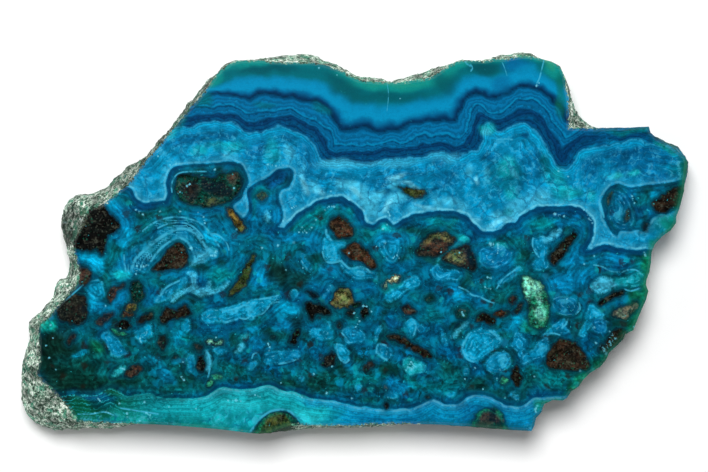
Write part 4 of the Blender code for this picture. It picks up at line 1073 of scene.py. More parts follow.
def add_colours(mesh, name, values):
    """Keeps one linear colour for each point of a mesh."""
    if values.shape[1] == 3:
        values = np.hstack([values, np.ones((len(values), 1))])
    add_numbers(mesh, name, values, "FLOAT_COLOR", "color")


def colour_mesh(mesh, settings):
    """Works out every field of the pattern at the points of the slab."""
    noise.seed_set(NOISE_SEED)
    co = np.empty(len(mesh.vertices) * 3)
    mesh.vertices.foreach_get("co", co)
    co = co.reshape(-1, 3)
    spots = np.empty((len(co), 2))
    spots[:, 0] = MIDDLE[0] + co[:, 0] / PIXEL
    spots[:, 1] = MIDDLE[1] - co[:, 1] / PIXEL
    drop = (SLAB_HIGH.z - co[:, 2]) / PIXEL
    for n in np.nonzero(drop > 1)[0]:
        push = noise.noise_vector(Vector(co[n]) * SLANT_SCALE)
        spots[n, 0] += drop[n] * (SLANT[0] + SLANT_WAVER * push.x)
        spots[n, 1] += drop[n] * (SLANT_WAVER * push.y + SLANT[1])
    # The size of each waver comes first, in pixels, and the place in the noise comes last
    edges = drift(spots, 7.0, settings.edge_drift, 1.7)
    broad = drift(edges, 17.0, settings.patch_drift, 5.2)
    growth, gap = growth_of(drift(edges, 9.0, settings.band_drift, 8.3))
    depth, glow, hem = isle_of(edges)
    fragment, fragment_tint = shapes_of(drift(edges, 4.5, 1.7, 6.6), FRAGMENTS)
    pale, pale_tint = shapes_of(edges, PALE_BODIES)
    shell = -np.maximum(np.maximum(fragment, pale), -np.abs(depth))
    add_numbers(mesh, "growth", growth)
    add_numbers(mesh, "glow", glow)
    for name, pixels in (("gap", gap), ("isle", depth), ("hem", hem), ("fragment", fragment),
                         ("shell", shell), ("pale", pale)):
        add_numbers(mesh, name, pixels * PIXEL_MM)
    add_colours(mesh, "fragment_tint", fragment_tint)
    add_colours(mesh, "pale_tint", pale_tint)
    add_numbers(mesh, "thread", threads_of(spots), "FLOAT_VECTOR", "vector")
    add_numbers(mesh, "fleck", flecks_of(spots), "FLOAT_VECTOR", "vector")
    add_colours(mesh, "light_ground", light_ground_of(broad, growth))
    add_colours(mesh, "dark_ground", dark_ground_of(broad))


class Shader:
    """Builds a material's nodes a step at a time."""

    def __init__(self, name):
        self.material = bpy.data.materials.new(name)
        self.material.use_nodes = True
        self.tree = self.material.node_tree
        self.tree.nodes.clear()

    def node(self, kind, **inputs):
        made = self.tree.nodes.new(kind)
        for key, value in inputs.items():
            self.feed(made.inputs[key], value)
        return made

    def feed(self, socket, value):
        if isinstance(value, bpy.types.NodeSocket):
            self.tree.links.new(value, socket)
        else:
            socket.default_value = value

    def math(self, kind, first, second=0.0, third=0.0, clamp=False):
        made = self.tree.nodes.new("ShaderNodeMath")
        made.operation = kind
        made.use_clamp = clamp
        for socket, value in zip(made.inputs, (first, second, third)):
            self.feed(socket, value)
        return made.outputs[0]

    def times(self, *values):
        """Multiplies numbers together, from the left."""
        made = values[0]
        for value in values[1:]:
            made = self.math("MULTIPLY", made, value)
        return made

    def plus(self, first, second):
        return self.math("ADD", first, second)

    def less(self, first, second):
        return self.math("SUBTRACT", first, second)

    def scaled(self, value, by, start):
        """A number times another, from a start."""
        return self.math("MULTIPLY_ADD", value, by, start)

    def vector(self, kind, first, second=(0, 0, 0), scale=None):
        made = self.tree.nodes.new("ShaderNodeVectorMath")
        made.operation = kind
        self.feed(made.inputs[0], first)
        self.feed(made.inputs[1], second)
        if scale is not None:
            self.feed(made.inputs["Scale"], scale)
        return made.outputs["Value" if kind in ("LENGTH", "DOT_PRODUCT") else "Vector"]

    def kept(self, name, output="Fac"):
        """Reads what the mesh keeps under a name."""
        made = self.node("ShaderNodeAttribute")
        made.attribute_name = name
        return made.outputs[output]

    def noise(self, place, scale, detail=3.0, roughness=0.55, colour=False):
        """Cloudy noise, as a number or a colour."""
        made = self.tree.nodes.new("ShaderNodeTexNoise")
        self.feed(made.inputs["Vector"], place)
        made.inputs["Scale"].default_value = scale
        made.inputs["Detail"].default_value = detail
        made.inputs["Roughness"].default_value = roughness
        return made.outputs["Color" if colour else "Fac"]

    def cells(self, place, scale, kind="F1", output="Distance"):
        """A field of cells, by distance or by colour."""
        made = self.tree.nodes.new("ShaderNodeTexVoronoi")
        made.feature = kind
        self.feed(made.inputs["Vector"], place)
        made.inputs["Scale"].default_value = scale
        return made.outputs[output]

    def ease(self, value, low, high, into_low=0.0, into_high=1.0):
        """Turns low to high smoothly into two other levels."""
        made = self.tree.nodes.new("ShaderNodeMapRange")
        made.interpolation_type = "SMOOTHSTEP"
        for key, given in zip(("Value", "From Min", "From Max", "To Min", "To Max"),
                              (value, low, high, into_low, into_high)):
            self.feed(made.inputs[key], given)
        return made.outputs["Result"]

    def mix(self, share, first, second, kind="MIX"):
        """Mixes a share of the second colour into the first."""
        made = self.tree.nodes.new("ShaderNodeMix")
        made.data_type = "RGBA"
        made.blend_type = kind
        made.clamp_factor = True
        self.feed(made.inputs[0], share)
        self.feed(made.inputs[6], first)
        self.feed(made.inputs[7], second)
        return made.outputs[2]

    def dim(self, colour, amount):
        """Multiplies a colour by a number."""
        return self.vector("SCALE", colour, scale=amount)

    def parts(self, value, kind="XYZ"):
        """The three parts of a vector or a colour."""
        made = self.tree.nodes.new("ShaderNodeSeparate" + kind)
        self.feed(made.inputs[0], value)
        return made.outputs

    def between(self, value, low, high, soft):
        """1 where the value lies between two limits, with soft ends."""
        rise = self.ease(value, low - soft, low + soft)
        fall = self.ease(value, high - soft, high + soft, 1.0, 0.0)
        return self.times(rise, fall)

    def waves(self, value, period):
        """0 to 1 and back over each period of the value."""
        turn = self.scaled(value, FULL_TURN / period, 0.0)
        return self.scaled(self.math("SINE", turn), 0.5, 0.5)


def stone_material(settings):
    """Makes the one material of the slab: polished face, broken edges, rind and sawn back."""
    s = Shader("banded_chrysocolla")
    made = s.node("ShaderNodeTexCoord")
    place = s.vector("SCALE", made.outputs["Object"], scale=1000.0)
    across, up, height = s.parts(place)
    flat_place = s.vector("MULTIPLY", place, (1.0, 1.0, 0.25))
    swirl = s.vector("SUBTRACT", s.noise(flat_place, 0.85, 2.0, colour=True), (0.5, 0.5, 0.5))
    bent = s.vector("ADD", flat_place, s.vector("SCALE", swirl, scale=1.3))
    fine_swirl = s.vector("SUBTRACT", s.noise(flat_place, 3.2, 2.0, colour=True), (0.5, 0.5, 0.5))
    crisp = s.vector("ADD", bent, s.vector("SCALE", fine_swirl, scale=0.35))
    grain = s.noise(flat_place, 5.0, 3.0, 0.7)
    grain_step = s.less(grain, 0.5)
    cloud = s.noise(bent, 0.55, 3.0)
    mottle = s.noise(crisp, 1.5, 4.0, 0.65)

    growth = s.kept("growth")
    gap = s.kept("gap")
    mottle_step = s.less(mottle, 0.5)
    waver = s.scaled(mottle_step, 0.3, s.times(grain_step, 0.18))
    isle = s.plus(waver, s.kept("isle"))
    glow = s.kept("glow")
    hem = s.kept("hem")
    shell = s.kept("shell")

    # The pale ground: growth bands above, round bodies in the middle, fine bands in the hem
    light = s.kept("light_ground", "Color")
    bodies = s.cells(bent, 0.36)
    body_rings = s.waves(s.scaled(mottle, 0.5, bodies), 0.42)
    small_bodies = s.cells(crisp, 0.95)
    body_edges = s.cells(crisp, 0.55, "DISTANCE_TO_EDGE")
    in_bands = s.ease(growth, 4.1, 5.6, 1.0, 0.0)
    in_hem = s.ease(hem, 2.6, 3.6, 1.0, 0.0)
    in_middle = s.math("SUBTRACT", 1.0, s.math("MAXIMUM", in_bands, in_hem), clamp=True)
    flow = s.waves(s.scaled(mottle, 0.7, growth), 0.74)
    fine_flow = s.waves(s.scaled(mottle, 0.4, growth), 0.29)
    flow_most = s.times(s.ease(growth, 5.0, 10.0, 0.46, 0.18),
        s.ease(s.noise(bent, 0.3, 2.0), 0.42, 0.58, 0.15, 1.0))
    flow_light = s.scaled(s.less(flow, 0.5), flow_most, 1.0)
    fine_most = s.times(flow_most, 0.6)
    fine_light = s.scaled(s.less(fine_flow, 0.5), fine_most, 1.0)
    body_light = s.times(s.scaled(body_rings, 0.16, 0.92), s.times(flow_light, fine_light),
        s.ease(small_bodies, 0.1, 0.75, 1.1, 0.9), s.ease(body_edges, 0.0, 0.1, 0.88, 1.02),
        s.ease(cloud, 0.3, 0.7, 0.66, 1.36))
    band_waves = s.waves(s.scaled(mottle, 0.55, growth), 0.31)
    band_most = s.ease(growth, 0.5, 1.6, 0.1, 0.46)
    band_light = s.scaled(s.less(band_waves, 0.5), band_most, 1.0)
    blotchy = s.ease(growth, 1.2, 2.4)
    blotches = s.scaled(s.times(mottle_step, blotchy), 1.7, 1.0)
    band_light = s.times(band_light, blotches)
    hem_waves = s.waves(s.scaled(mottle, 1.0, hem), 0.8)
    hem_fine = s.waves(s.scaled(mottle, 0.6, hem), 0.33)
    hem_light = s.times(s.scaled(hem_waves, 0.22, 0.82), s.scaled(hem_fine, 0.28, 0.82),
        s.ease(mottle, 0.3, 0.7, 0.72, 1.34), s.ease(cloud, 0.3, 0.7, 0.78, 1.2),
        s.ease(across, -33.0, -22.0, 0.74, 1.0))
    shade = s.scaled(s.less(body_light, 1.0), in_middle, 1.0)
    for amount, share in ((band_light, in_bands), (hem_light, in_hem)):
        part = s.scaled(s.less(amount, 1.0), share, 1.0)
        shade = s.times(shade, part)
    shade = s.times(shade, s.scaled(grain_step, 0.55, 1.0))
    light = s.dim(light, shade)
    milky = s.times(s.ease(mottle, 0.56, 0.74), in_middle)
    light = s.mix(s.times(milky, 0.45), light, tone("sky"))
    wisp_field = s.noise(bent, 0.62, 3.0, 0.6)
    wisp_off = s.math("ABSOLUTE", s.less(wisp_field, 0.5))
    wisps = s.times(s.ease(wisp_off, 0.004, 0.05, 1.0, 0.0), s.ease(cloud, 0.42, 0.6))
    light = s.mix(s.times(wisps, in_middle, 0.45), light, tone("sky"))
    feather = s.noise(s.vector("MULTIPLY", bent, (1.0, 0.55, 1.0)), 0.95, 4.0, 0.7)
    feather = s.times(s.ease(feather, 0.54, 0.66), s.ease(cloud, 0.48, 0.62))
    light = s.mix(s.times(feather, in_middle, 0.16), light, tone("pale"))
    dim_off = s.math("ABSOLUTE", s.less(wisp_field, 0.57))
    dim_wisps = s.times(s.ease(dim_off, 0.004, 0.02, 1.0, 0.0), in_middle)
    light = s.mix(s.times(dim_wisps, 0.35), light, tone("deep"))
    cracks = s.times(s.ease(s.cells(crisp, 0.3, "DISTANCE_TO_EDGE"), 0.014, 0.062, 1.0, 0.0),
        s.ease(cloud, 0.38, 0.56), in_middle)
    light = s.mix(s.times(cracks, 0.5), light, tone("deep"))
    hem_line = s.waves(s.scaled(mottle, 1.4, hem), 0.62)
    hem_line = s.times(s.ease(hem_line, 0.86, 0.99), s.ease(cloud, 0.42, 0.6, 0.15, 0.6), in_hem,
        s.ease(across, -12.0, 6.0, 1.0, 0.35))
    light = s.mix(hem_line, light, tone("aqua"))
    for level, low, high, most, name in ((2.0, 0.05, 0.2, 0.75, "azure"),
            (2.36, 0.03, 0.16, 0.45, "blue"), (3.35, 0.02, 0.13, 0.3, "blue"),
            (4.1, 0.02, 0.22, 0.35, "sky")):
        off = s.math("ABSOLUTE", s.less(growth, level))
        line = s.ease(s.times(off, gap), low, high, most, 0.0)
        light = s.mix(s.times(line, s.ease(mottle, 0.3, 0.6)), light, tone(name))

    # The dark ground: a mosaic of small bodies, banded around what it holds
    dark = s.kept("dark_ground", "Color")
    mosaic = s.cells(crisp, 0.62)
    mosaic_tone = s.cells(crisp, 0.62, output="Color")
    ground_parts = s.parts(dark, "Color")
    lift = s.ease(ground_parts[2], 0.025, 0.13)
    pick = s.parts(mosaic_tone, "Color")
    shell_bands = s.waves(s.scaled(mottle, 0.5, shell), 0.66)
    shell_fine = s.waves(s.scaled(mottle, 0.3, shell), 0.27)
    fine_rings = s.waves(s.scaled(mottle, 0.3, bodies), 0.3)
    dark_light = s.times(s.scaled(fine_rings, 0.12, 1.04), s.scaled(shell_bands, 0.5, 0.78),
        s.scaled(shell_fine, 0.14, 0.95), s.ease(mottle, 0.32, 0.68, 0.8, 1.26),
        s.ease(cloud, 0.34, 0.66, 0.58, 1.55), s.ease(mosaic, 0.05, 0.75, 1.12, 0.9),
        s.ease(pick[2], 0.0, 1.0, 0.88, 1.14), s.scaled(grain_step, 0.6, 1.0))
    pebble = s.parts(s.cells(crisp, 1.45, output="Color"), "Color")
    dark_light = s.times(dark_light, s.ease(up, -14.0, -2.0, 1.02, 1.13))
    pebbly = s.ease(up, -19.0, -7.0, 0.9, 0.12)
    pebble_light = s.scaled(s.less(pebble[0], 0.48), 0.95, 0.0)
    dark_light = s.times(dark_light, s.scaled(pebble_light, pebbly, 1.0))
    dark = s.dim(dark, dark_light)
    for channel, name in ((1, "night"), (2, "moss")):
        picked = s.times(s.ease(pebble[channel], 0.86, 0.9), pebbly)
        dark = s.mix(s.times(picked, 0.55), dark, tone(name))
    core = s.ease(mosaic, 0.22, 0.46, 1.0, 0.0)
    deep_in = s.ease(isle, 0.6, 1.4)
    for channel, level, name, most in ((0, 0.8, "umber", 0.75), (1, 0.72, "azure", 0.6),
            (2, 0.86, "turquoise", 0.55)):
        chosen = s.times(s.ease(pick[channel], level, level + 0.04), core, s.times(deep_in, most))
        if name != "umber":
            chosen = s.times(chosen, lift)
        dark = s.mix(chosen, dark, tone(name))
    deep_in = s.times(deep_in, lift)
    veil = s.times(s.ease(s.noise(bent, 0.45, 4.0, 0.6), 0.5, 0.68), deep_in)
    dark = s.mix(s.times(veil, 0.4), dark, tone("blue"))
    wisps = s.times(s.ease(wisp_off, 0.004, 0.02, 1.0, 0.0), s.ease(mottle, 0.45, 0.65))
    dark = s.mix(s.times(wisps, deep_in, 0.55), dark, tone("azure"))
    edge_lines = s.waves(isle, 0.44)
    edge_most = s.ease(glow, 0.25, 0.7, 0.2, 0.8)
    edge_fade = s.times(s.ease(isle, 0.35, 1.3), -1.0)
    edge_fade = s.times(s.plus(edge_fade, 1.0), edge_most)
    dark = s.vector("MULTIPLY", dark, (1.0, 1.06, 0.96))
    border = s.mix(s.scaled(edge_lines, 0.55, 0.3), tone("navy"), tone("deep"))
    border = s.dim(border, s.scaled(mottle_step, 1.4, 1.0))
    dark = s.mix(edge_fade, dark, border)

    ground = s.mix(s.ease(isle, -0.07, 0.07), light, dark)
    patchy = s.ease(s.noise(bent, 0.9, 2.0), 0.34, 0.6, 0.25, 1.0)
    rim = s.times(s.between(isle, -0.4, -0.12, 0.14), glow)
    ground = s.mix(s.times(rim, patchy, 0.7), ground, tone("pale"))
    halo = s.times(s.between(isle, -1.3, -0.35, 0.25), glow)
    ground = s.mix(s.times(halo, patchy, 0.42), ground, tone("sky"))

    # Pale bodies with their own bands
    pale = s.scaled(waver, 2.6, s.kept("pale"))
    pale_tint = s.kept("pale_tint", "Color")
    pale_share = s.kept("pale_tint", "Alpha")
    pale_plain = s.scaled(cloud, 0.8, s.kept("pale"))
    pale_waves = s.waves(s.scaled(mottle, 0.2, pale_plain), 0.52)
    ring_most = s.ease(s.noise(flat_place, 0.22, 1.0), 0.4, 0.6, 0.08, 0.5)
    pale_light = s.times(s.scaled(s.less(pale_waves, 0.5), ring_most, 0.97),
        s.ease(cloud, 0.32, 0.68, 0.52, 1.45), s.ease(mottle, 0.3, 0.7, 0.78, 1.26),
        s.scaled(grain_step, 0.8, 1.0))
    pale_colour = s.dim(pale_tint, pale_light)
    lit_edge = s.times(s.between(pale, 0.04, 0.22, 0.06), s.ease(cloud, 0.44, 0.58))
    pale_colour = s.mix(s.times(lit_edge, 0.55), pale_colour, tone("sky"))
    pale_haze = s.times(s.ease(cloud, 0.5, 0.66), s.ease(pale, 0.2, 0.7))
    pale_colour = s.mix(s.times(pale_haze, 0.6), pale_colour, tone("sky"))
    pale_line = s.times(s.ease(pale_waves, 0.9, 1.0), s.ease(mottle, 0.5, 0.62))
    pale_colour = s.mix(s.times(pale_line, 0.55), pale_colour, tone("pale"))
    pale_mask = s.times(s.ease(pale, -0.22, 0.42), pale_share, s.ease(mottle, 0.3, 0.55, 0.54, 0.86))
    around = s.times(s.between(pale, -0.6, -0.2, 0.16), pale_share)
    ground = s.mix(s.times(around, 0.25), ground, tone("navy"))
    ground = s.mix(pale_mask, ground, pale_colour)

    # Fragments of rock: grainy, dark at the edge, ringed by fine bands
    chip = s.scaled(waver, 2.2, s.kept("fragment"))
    chip_tint = s.kept("fragment_tint", "Color")
    chip_share = s.kept("fragment_tint", "Alpha")
    speck = s.cells(flat_place, 4.2, output="Color")
    speck_pick = s.parts(speck, "Color")
    blotch = s.noise(flat_place, 1.25, 5.0, 0.72)
    streak = s.noise(s.vector("MULTIPLY", bent, (1.0, 1.7, 1.0)), 0.8, 4.0, 0.7)
    chip_light = s.times(s.ease(blotch, 0.36, 0.66, 0.12, 2.0),
        s.ease(speck_pick[0], 0.0, 1.0, 0.72, 1.25), s.ease(chip, 0.0, 0.75, 0.5, 1.3))
    warm = s.noise(bent, 0.8, 3.0)
    chip_tint = s.mix(s.ease(warm, 0.5, 0.6), chip_tint, (1.22, 0.95, 0.8, 1.0), "MULTIPLY")
    chip_tint = s.mix(s.ease(warm, 0.38, 0.5, 1.0, 0.0), chip_tint, (0.8, 1.12, 0.92, 1.0), "MULTIPLY")
    chip_colour = s.dim(chip_tint, chip_light)
    chip_colour = s.mix(s.ease(streak, 0.55, 0.68, 0.0, 0.4), chip_colour, tone("grey"))
    tint_parts = s.parts(chip_tint, "Color")
    black_most = s.ease(tint_parts[1], 0.06, 0.3, 0.8, 0.12)
    chip_colour = s.mix(s.times(s.ease(streak, 0.36, 0.48, 1.0, 0.0), black_most), chip_colour,
        tone("black"))
    chip_colour = s.mix(s.ease(speck_pick[1], 0.955, 0.975, 0.0, 0.18), chip_colour, tone("jade"))
    chip_colour = s.mix(s.ease(speck_pick[2], 0.91, 0.94, 0.0, 0.25), chip_colour, tone("grey"))
    chip_colour = s.mix(s.between(chip, -0.2, 0.08, 0.14), chip_colour, tone("black"))
    ring_waves = s.waves(chip, 0.4)
    ring_fade = s.times(s.ease(chip, -0.9, -0.05, 0.0, 0.62), chip_share)
    ring_colour = s.mix(ring_waves, tone("ink"), tone("sea"))
    ground = s.mix(ring_fade, ground, ring_colour)
    ground = s.mix(s.times(s.ease(chip, -0.3, 0.22), chip_share), ground, chip_colour)

    # Thin pale threads and bright flecks
    broken = s.ease(s.noise(flat_place, 1.3, 2.0), 0.36, 0.56, 0.25, 1.0)
    for name, shade_name, low, high, most, ragged in (("thread", "sky", 0.3, 1.5, 0.74, 0.9),
            ("fleck", "pale", 0.1, 1.05, 0.8, 2.2)):
        field = s.kept(name, "Vector")
        parts = s.parts(field)
        step = s.vector("LENGTH", s.vector("MULTIPLY", field, (1.0, 1.0, 0.0)))
        step = s.scaled(grain_step, ragged, step)
        mask = s.times(s.ease(step, low, high, 1.0, 0.0), s.math("LESS_THAN", parts[2], FIELD_REACH),
            broken, most)
        ground = s.mix(mask, ground, tone(shade_name))
    glints = s.cells(crisp, 2.4)
    glint_tone = s.cells(crisp, 2.4, output="Color")
    glint_pick = s.parts(glint_tone, "Color")
    glint = s.times(s.ease(glints, 0.16, 0.3, 1.0, 0.0), s.ease(glint_pick[0], 0.955, 0.965),
        s.ease(isle, -0.1, 0.9, 0.25, 0.9))
    ground = s.mix(s.times(glint, 0.55), ground, tone("aqua"))

    # Broken edges keep the pattern, dull and greener; the rind is a crust of its own
    ragged_rind = s.less(s.noise(place, 0.38, 4.0, 0.65), 0.5)
    rind = s.less(s.kept("rind"), s.ease(height, 0.5, 6.5, 0.22, 0.0))
    rind = s.ease(s.scaled(ragged_rind, 3.0, rind), 0.38, 0.52)
    side = s.kept("side")
    sawn = s.kept("sawn")
    crust_noise = s.noise(place, 1.5, 6.0, 0.78)
    crust_fine = s.noise(place, 4.5, 4.0, 0.8)
    crust_cells = s.cells(place, 1.3)
    crust_tone = s.parts(s.cells(place, 3.0, output="Color"), "Color")
    rind_ramp = s.node("ShaderNodeValToRGB")
    stops = ((0.28, (12, 28, 20)), (0.4, (62, 94, 76)), (0.5, (122, 154, 134)), (0.58, (182, 208, 190)),
        (0.7, (244, 252, 242)))
    elements = rind_ramp.color_ramp.elements
    while len(elements) < len(stops):
        elements.new(0.5)
    for element, (position, rgb) in zip(elements, stops):
        element.position = position
        element.color = tuple(linear(v) for v in rgb) + (1.0,)
    crust_step = s.less(crust_noise, 0.5)
    crust_level = s.scaled(crust_step, 1.35, 0.52)
    crust_level = s.scaled(s.less(crust_fine, 0.5), 1.1, crust_level)
    crust_level = s.scaled(s.less(crust_tone[0], 0.5), 0.16, crust_level)
    s.feed(rind_ramp.inputs[0], crust_level)
    rind_colour = rind_ramp.outputs[0]
    rind_colour = s.mix(s.ease(s.noise(place, 0.8, 3.0), 0.53, 0.61, 0.0, 0.65), rind_colour,
        tone("jade"))
    shadowed = s.noise(s.vector("ADD", place, (31.0, 7.0, 0.0)), 0.42, 4.0, 0.65)
    rind_colour = s.dim(rind_colour, s.ease(shadowed, 0.36, 0.62, 0.5, 1.62))
    rind_colour = s.mix(s.ease(crust_cells, 0.12, 0.34, 0.88, 0.0), rind_colour, tone("night"))
    rind_colour = s.mix(mask, rind_colour, tone("white"))
    # Painted shade: the rind on the upper-left slope is made up to 42% darker
    painted_slope_shade = s.times(s.ease(up, 2.0, 12.0), s.ease(across, -30.0, -8.0, 1.0, 0.0))
    rind_colour = s.dim(rind_colour, s.scaled(painted_slope_shade, -0.42, 1.0))
    black_place = ((70 - MIDDLE[0]) * PIXEL_MM, (MIDDLE[1] - 229) * PIXEL_MM, 0.0)
    from_black = s.vector("MULTIPLY", s.vector("SUBTRACT", place, black_place), (1.0, 1.0, 0.0))
    from_black = s.scaled(crust_step, 6.0, s.vector("LENGTH", from_black))
    rind_colour = s.dim(rind_colour, s.ease(from_black, 1.8, 3.4, 0.34, 1.0))
    break_colour = s.mix(s.ease(s.noise(place, 0.35, 3.0), 0.4, 0.6, 0.35, 0.75), ground,
        tone("emerald"))
    break_colour = s.dim(break_colour, s.ease(crust_noise, 0.3, 0.7, 0.7, 1.6))
    break_colour = s.dim(break_colour, s.ease(up, -18.0, -2.0, 0.62, 1.0))
    edge_colour = s.mix(rind, break_colour, rind_colour)
    reach = s.kept("reach")
    thin = s.scaled(waver, 3.0, reach)
    thin = s.times(s.ease(thin, -0.2, 1.3, 0.85, 0.0), s.less(1.0, rind),
        s.ease(up, 11.0, 15.0, 1.0, 0.25), s.ease(up, -16.0, -4.0, 0.45, 1.0))
    ground = s.mix(thin, ground, tone("emerald"))
    cover = s.ease(s.scaled(crust_step, 3.0, reach), 0.0, 0.14, 1.0, 0.0)
    ground = s.mix(s.times(cover, rind), ground, rind_colour)
    dull = s.mix(0.25, ground, (0.1, 0.16, 0.15, 1.0))
    colour = s.mix(sawn, s.mix(s.ease(side, 0.35, 0.65), ground, edge_colour), dull)

    # Finish: glossy on the face, matt on the sides and the back
    matt = s.math("MAXIMUM", side, sawn, clamp=True)
    worn = s.ease(reach, 0.25, 0.5, 1.0, 0.0)
    roughness = s.ease(s.math("MAXIMUM", matt, worn), 0.2, 0.8, settings.polish, 0.72)
    crust_height = s.scaled(crust_fine, 0.5, crust_noise)
    arcs = s.waves(s.vector("LENGTH", s.vector("ADD", place, (160.0, 90.0, 0.0))), 0.9)
    relief = s.times(crust_height, side)
    relief = s.scaled(s.times(arcs, sawn), 0.04, relief)
    bump = s.node("ShaderNodeBump", Strength=0.8, Distance=0.0005, Height=relief)
    surface = s.node("ShaderNodeBsdfPrincipled", Roughness=roughness)
    s.feed(surface.inputs["Base Color"], colour)
    s.feed(surface.inputs["Normal"], bump.outputs[0])
    surface.inputs["Specular IOR Level"].default_value = 0.22
    output = s.node("ShaderNodeOutputMaterial")
    s.feed(output.inputs["Surface"], surface.outputs[0])
    return s.material


def plain_material(name, rgb, roughness, shine=0.0):
    """Makes a plain material of one colour, which may glow a little."""
    s = Shader(name)
    surface = s.node("ShaderNodeBsdfPrincipled")
    surface.inputs["Emission Color"].default_value = (1, 1, 1, 1)
    surface.inputs["Emission Strength"].default_value = shine
    surface.inputs["Base Color"].default_value = rgb
    surface.inputs["Roughness"].default_value = roughness
    surface.inputs["Specular IOR Level"].default_value = 0.0
    output = s.node("ShaderNodeOutputMaterial")
    s.feed(output.inputs["Surface"], surface.outputs[0])
    return s.material


class SlabSettings(bpy.types.PropertyGroup):
    """Sizes and finish of the slab."""

    face_cell: FloatProperty(
        name="Face cell", description="Size of the squares that the polished face is cut into",
        default=0.00027, unit="LENGTH",
    )
    back_cell: FloatProperty(
        name="Back cell", description="Size of the squares that the back is cut into",
        default=0.0011, unit="LENGTH",
    )
    side_cuts: IntProperty(
        name="Side cuts", description="Cuts made across each edge of the sides", default=2,
    )
    crust_depth: FloatProperty(
        name="Crust depth", description="Deepest hollow in the rind's crust",
        default=0.0003, unit="LENGTH",
    )
    chip_depth: FloatProperty(
        name="Chip depth", description="Deepest chip in the broken edges",
        default=0.0002, unit="LENGTH",
    )
    crumb_depth: FloatProperty(
        name="Crumb depth", description="Deepest crumb lost from the edge of the polished face",
        default=0.00007, unit="LENGTH",
    )
    edge_drift: FloatProperty(
        name="Edge drift", description="Waver of the pattern's outlines, in pixels", default=1.1,
    )
    band_drift: FloatProperty(
        name="Band drift", description="Waver of the growth bands, in pixels", default=2.4,
    )
    patch_drift: FloatProperty(
        name="Patch drift", description="Waver of the soft patches, in pixels", default=5.0,
    )
    polish: FloatProperty(
        name="Polish", description="Roughness of the polished face", default=0.09,
        subtype="FACTOR",
    )


class StageSettings(bpy.types.PropertyGroup):
    """Floor, light and camera."""

    floor_size: FloatProperty(
        name="Floor size", description="Width of the floor", default=3.0, unit="LENGTH",
    )
    floor_tone: FloatVectorProperty(
        name="Floor colour", description="Colour of the floor", default=(0.99, 0.99, 0.99),
        subtype="COLOR",
    )
    floor_glow: FloatProperty(
        name="Floor glow", description="Even light from the floor itself", default=0.05,
    )
    lamp_power: FloatProperty(
        name="Lamp power", description="Power of the main lamp", default=10.15, unit="POWER",
    )
    lamp_size: FloatProperty(
        name="Lamp size", description="Width of the lamps", default=0.46, unit="LENGTH",
    )
    sky: FloatProperty(
        name="Sky", description="Strength of the even light from all round", default=0.04,
    )
    lens: FloatProperty(
        name="Lens", description="Focal length of the camera, in millimetres", default=150.0,
    )


def scene_settings():
    """The settings kept on the scene, for the slab and for the stage."""
    scene = bpy.context.scene
    return scene.chrysocolla_slab, scene.chrysocolla_stage


class CHRYSOCOLLA_OT_slab(bpy.types.Operator):
    """Cuts, roughens and colours the slab"""

    bl_idname = "chrysocolla.slab"
    bl_label = "Build slab"

    def execute(self, context):
        settings, _ = scene_settings()
        bm = cut_slab(settings)
        on_top, on_back, tree, flags = roughen_sides(bm, settings)
        bm.verts.index_update()
        tops = np.array([v.index for v in on_top])
        backs = np.array([v.index for v in on_back])
        rind = np.array([rind_share(tree, flags, v.co, COLOUR_POINTS) for v in bm.verts])
        reach = np.array([tree.find((v.co.x, v.co.y, 0))[2] * 1000 for v in bm.verts])
        for e in bm.edges:
            if len(e.link_faces) == 2 and e.calc_face_angle() > CREASE:
                e.smooth = False
        for f in bm.faces:
            f.smooth = True
        mesh = bpy.data.meshes.new("polished_slab")
        bm.to_mesh(mesh)
        bm.free()
        if len(mesh.polygons) > MOST_TRIANGLES:
            raise RuntimeError(f"The slab has {len(mesh.polygons)} triangles.")
        side = np.ones(len(mesh.vertices))
        side[tops] = 0
        side[backs] = 0
        sawn = np.zeros(len(mesh.vertices))
        sawn[backs] = 1
        add_numbers(mesh, "side", side)
        add_numbers(mesh, "sawn", sawn)
        add_numbers(mesh, "rind", rind)
        add_numbers(mesh, "reach", reach)
        colour_mesh(mesh, settings)
        slab = bpy.data.objects.new("polished_slab", mesh)
        context.scene.collection.objects.link(slab)
        mesh.materials.append(stone_material(settings))
        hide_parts("slab")
        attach(slab, "root")
        return {"FINISHED"}


# The lamps, as (name, place, share of the power)
LAMPS = [
    ("main_lamp", (-0.08, 0.37, 0.95), 1.0),
    ("left_lamp", (-0.85, 0.0, 0.62), 0.11),
    ("right_lamp", (0.85, 0.0, 0.62), 0.09),
    ("near_lamp", (0.05, -0.85, 0.62), 0.05),
]


def add_lamp(name, place, size, power):
    """Adds a large square lamp aimed at the slab."""
    data = bpy.data.lights.new(name, "AREA")
    data.shape = "SQUARE"
    data.size = size
    data.energy = power
    lamp = bpy.data.objects.new(name, data)
    lamp.location = place
    lamp.rotation_euler = (-Vector(place)).to_track_quat("-Z", "Y").to_euler()
    bpy.context.scene.collection.objects.link(lamp)


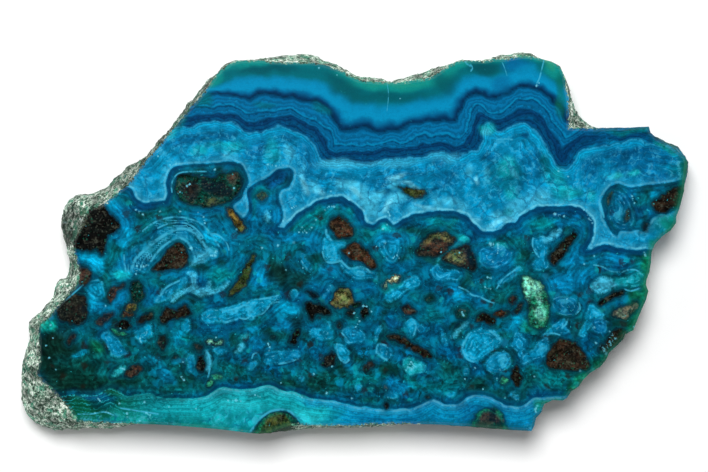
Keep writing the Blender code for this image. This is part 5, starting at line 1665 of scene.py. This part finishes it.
class CHRYSOCOLLA_OT_stage(bpy.types.Operator):
    """Adds the floor, the light and the camera"""

    bl_idname = "chrysocolla.stage"
    bl_label = "Build stage"

    def execute(self, context):
        _, settings = scene_settings()
        scene = context.scene
        mesh = bpy.data.meshes.new("floor")
        bm = bmesh.new()
        bmesh.ops.create_grid(bm, x_segments=1, y_segments=1, size=settings.floor_size / 2)
        bmesh.ops.translate(bm, verts=bm.verts, vec=(0, 0, -FLOOR_DROP))
        bm.to_mesh(mesh)
        bm.free()
        floor = bpy.data.objects.new("floor", mesh)
        scene.collection.objects.link(floor)
        mesh.materials.append(
            plain_material("plain_floor", (*settings.floor_tone, 1.0), 0.9, settings.floor_glow)
        )
        power, size = settings.lamp_power, settings.lamp_size
        for name, place, share in LAMPS:
            add_lamp(name, place, size, power * share)
        world = bpy.data.worlds.new("even_light")
        world.use_nodes = True
        background = world.node_tree.nodes["Background"]
        background.inputs["Color"].default_value = (1, 1, 1, 1)
        background.inputs["Strength"].default_value = settings.sky
        scene.world = world
        scene.view_settings.view_transform = "Standard"
        data = bpy.data.cameras.new("camera")
        data.type = "PERSP"
        data.lens = settings.lens
        data.sensor_width = SENSOR_WIDTH
        camera = bpy.data.objects.new("camera", data)
        across = (PICTURE_WIDTH / 2 - MIDDLE[0]) * PIXEL
        up = (MIDDLE[1] - PICTURE_HEIGHT / 2) * PIXEL
        reach = PICTURE_WIDTH * PIXEL * settings.lens / data.sensor_width
        camera.location = (across, up, SLAB_HIGH.z + reach)
        scene.collection.objects.link(camera)
        scene.camera = camera
        return {"FINISHED"}


class CHRYSOCOLLA_PT_panel(bpy.types.Panel):
    """Lists the steps that build the slab and its stage."""

    bl_label = "Chrysocolla slab"
    bl_idname = "CHRYSOCOLLA_PT_panel"
    bl_space_type = "VIEW_3D"
    bl_region_type = "UI"
    bl_category = "Chrysocolla"

    def draw(self, context):
        slab, stage = scene_settings()
        for settings, operator in ((slab, "chrysocolla.slab"), (stage, "chrysocolla.stage")):
            box = self.layout.box()
            for name in settings.__annotations__:
                box.prop(settings, name)
            box.operator(operator)


CLASSES = (
    SlabSettings,
    StageSettings,
    CHRYSOCOLLA_OT_slab,
    CHRYSOCOLLA_OT_stage,
    CHRYSOCOLLA_PT_panel,
)


def register():
    for cls in CLASSES:
        bpy.utils.register_class(cls)
    bpy.types.Scene.chrysocolla_slab = PointerProperty(type=SlabSettings)
    bpy.types.Scene.chrysocolla_stage = PointerProperty(type=StageSettings)


def unregister():
    del bpy.types.Scene.chrysocolla_slab
    del bpy.types.Scene.chrysocolla_stage
    for cls in reversed(CLASSES):
        bpy.utils.unregister_class(cls)


def main():
    register()
    bpy.ops.chrysocolla.slab()
    bpy.ops.chrysocolla.stage()


if __name__ == "__main__":
    main()
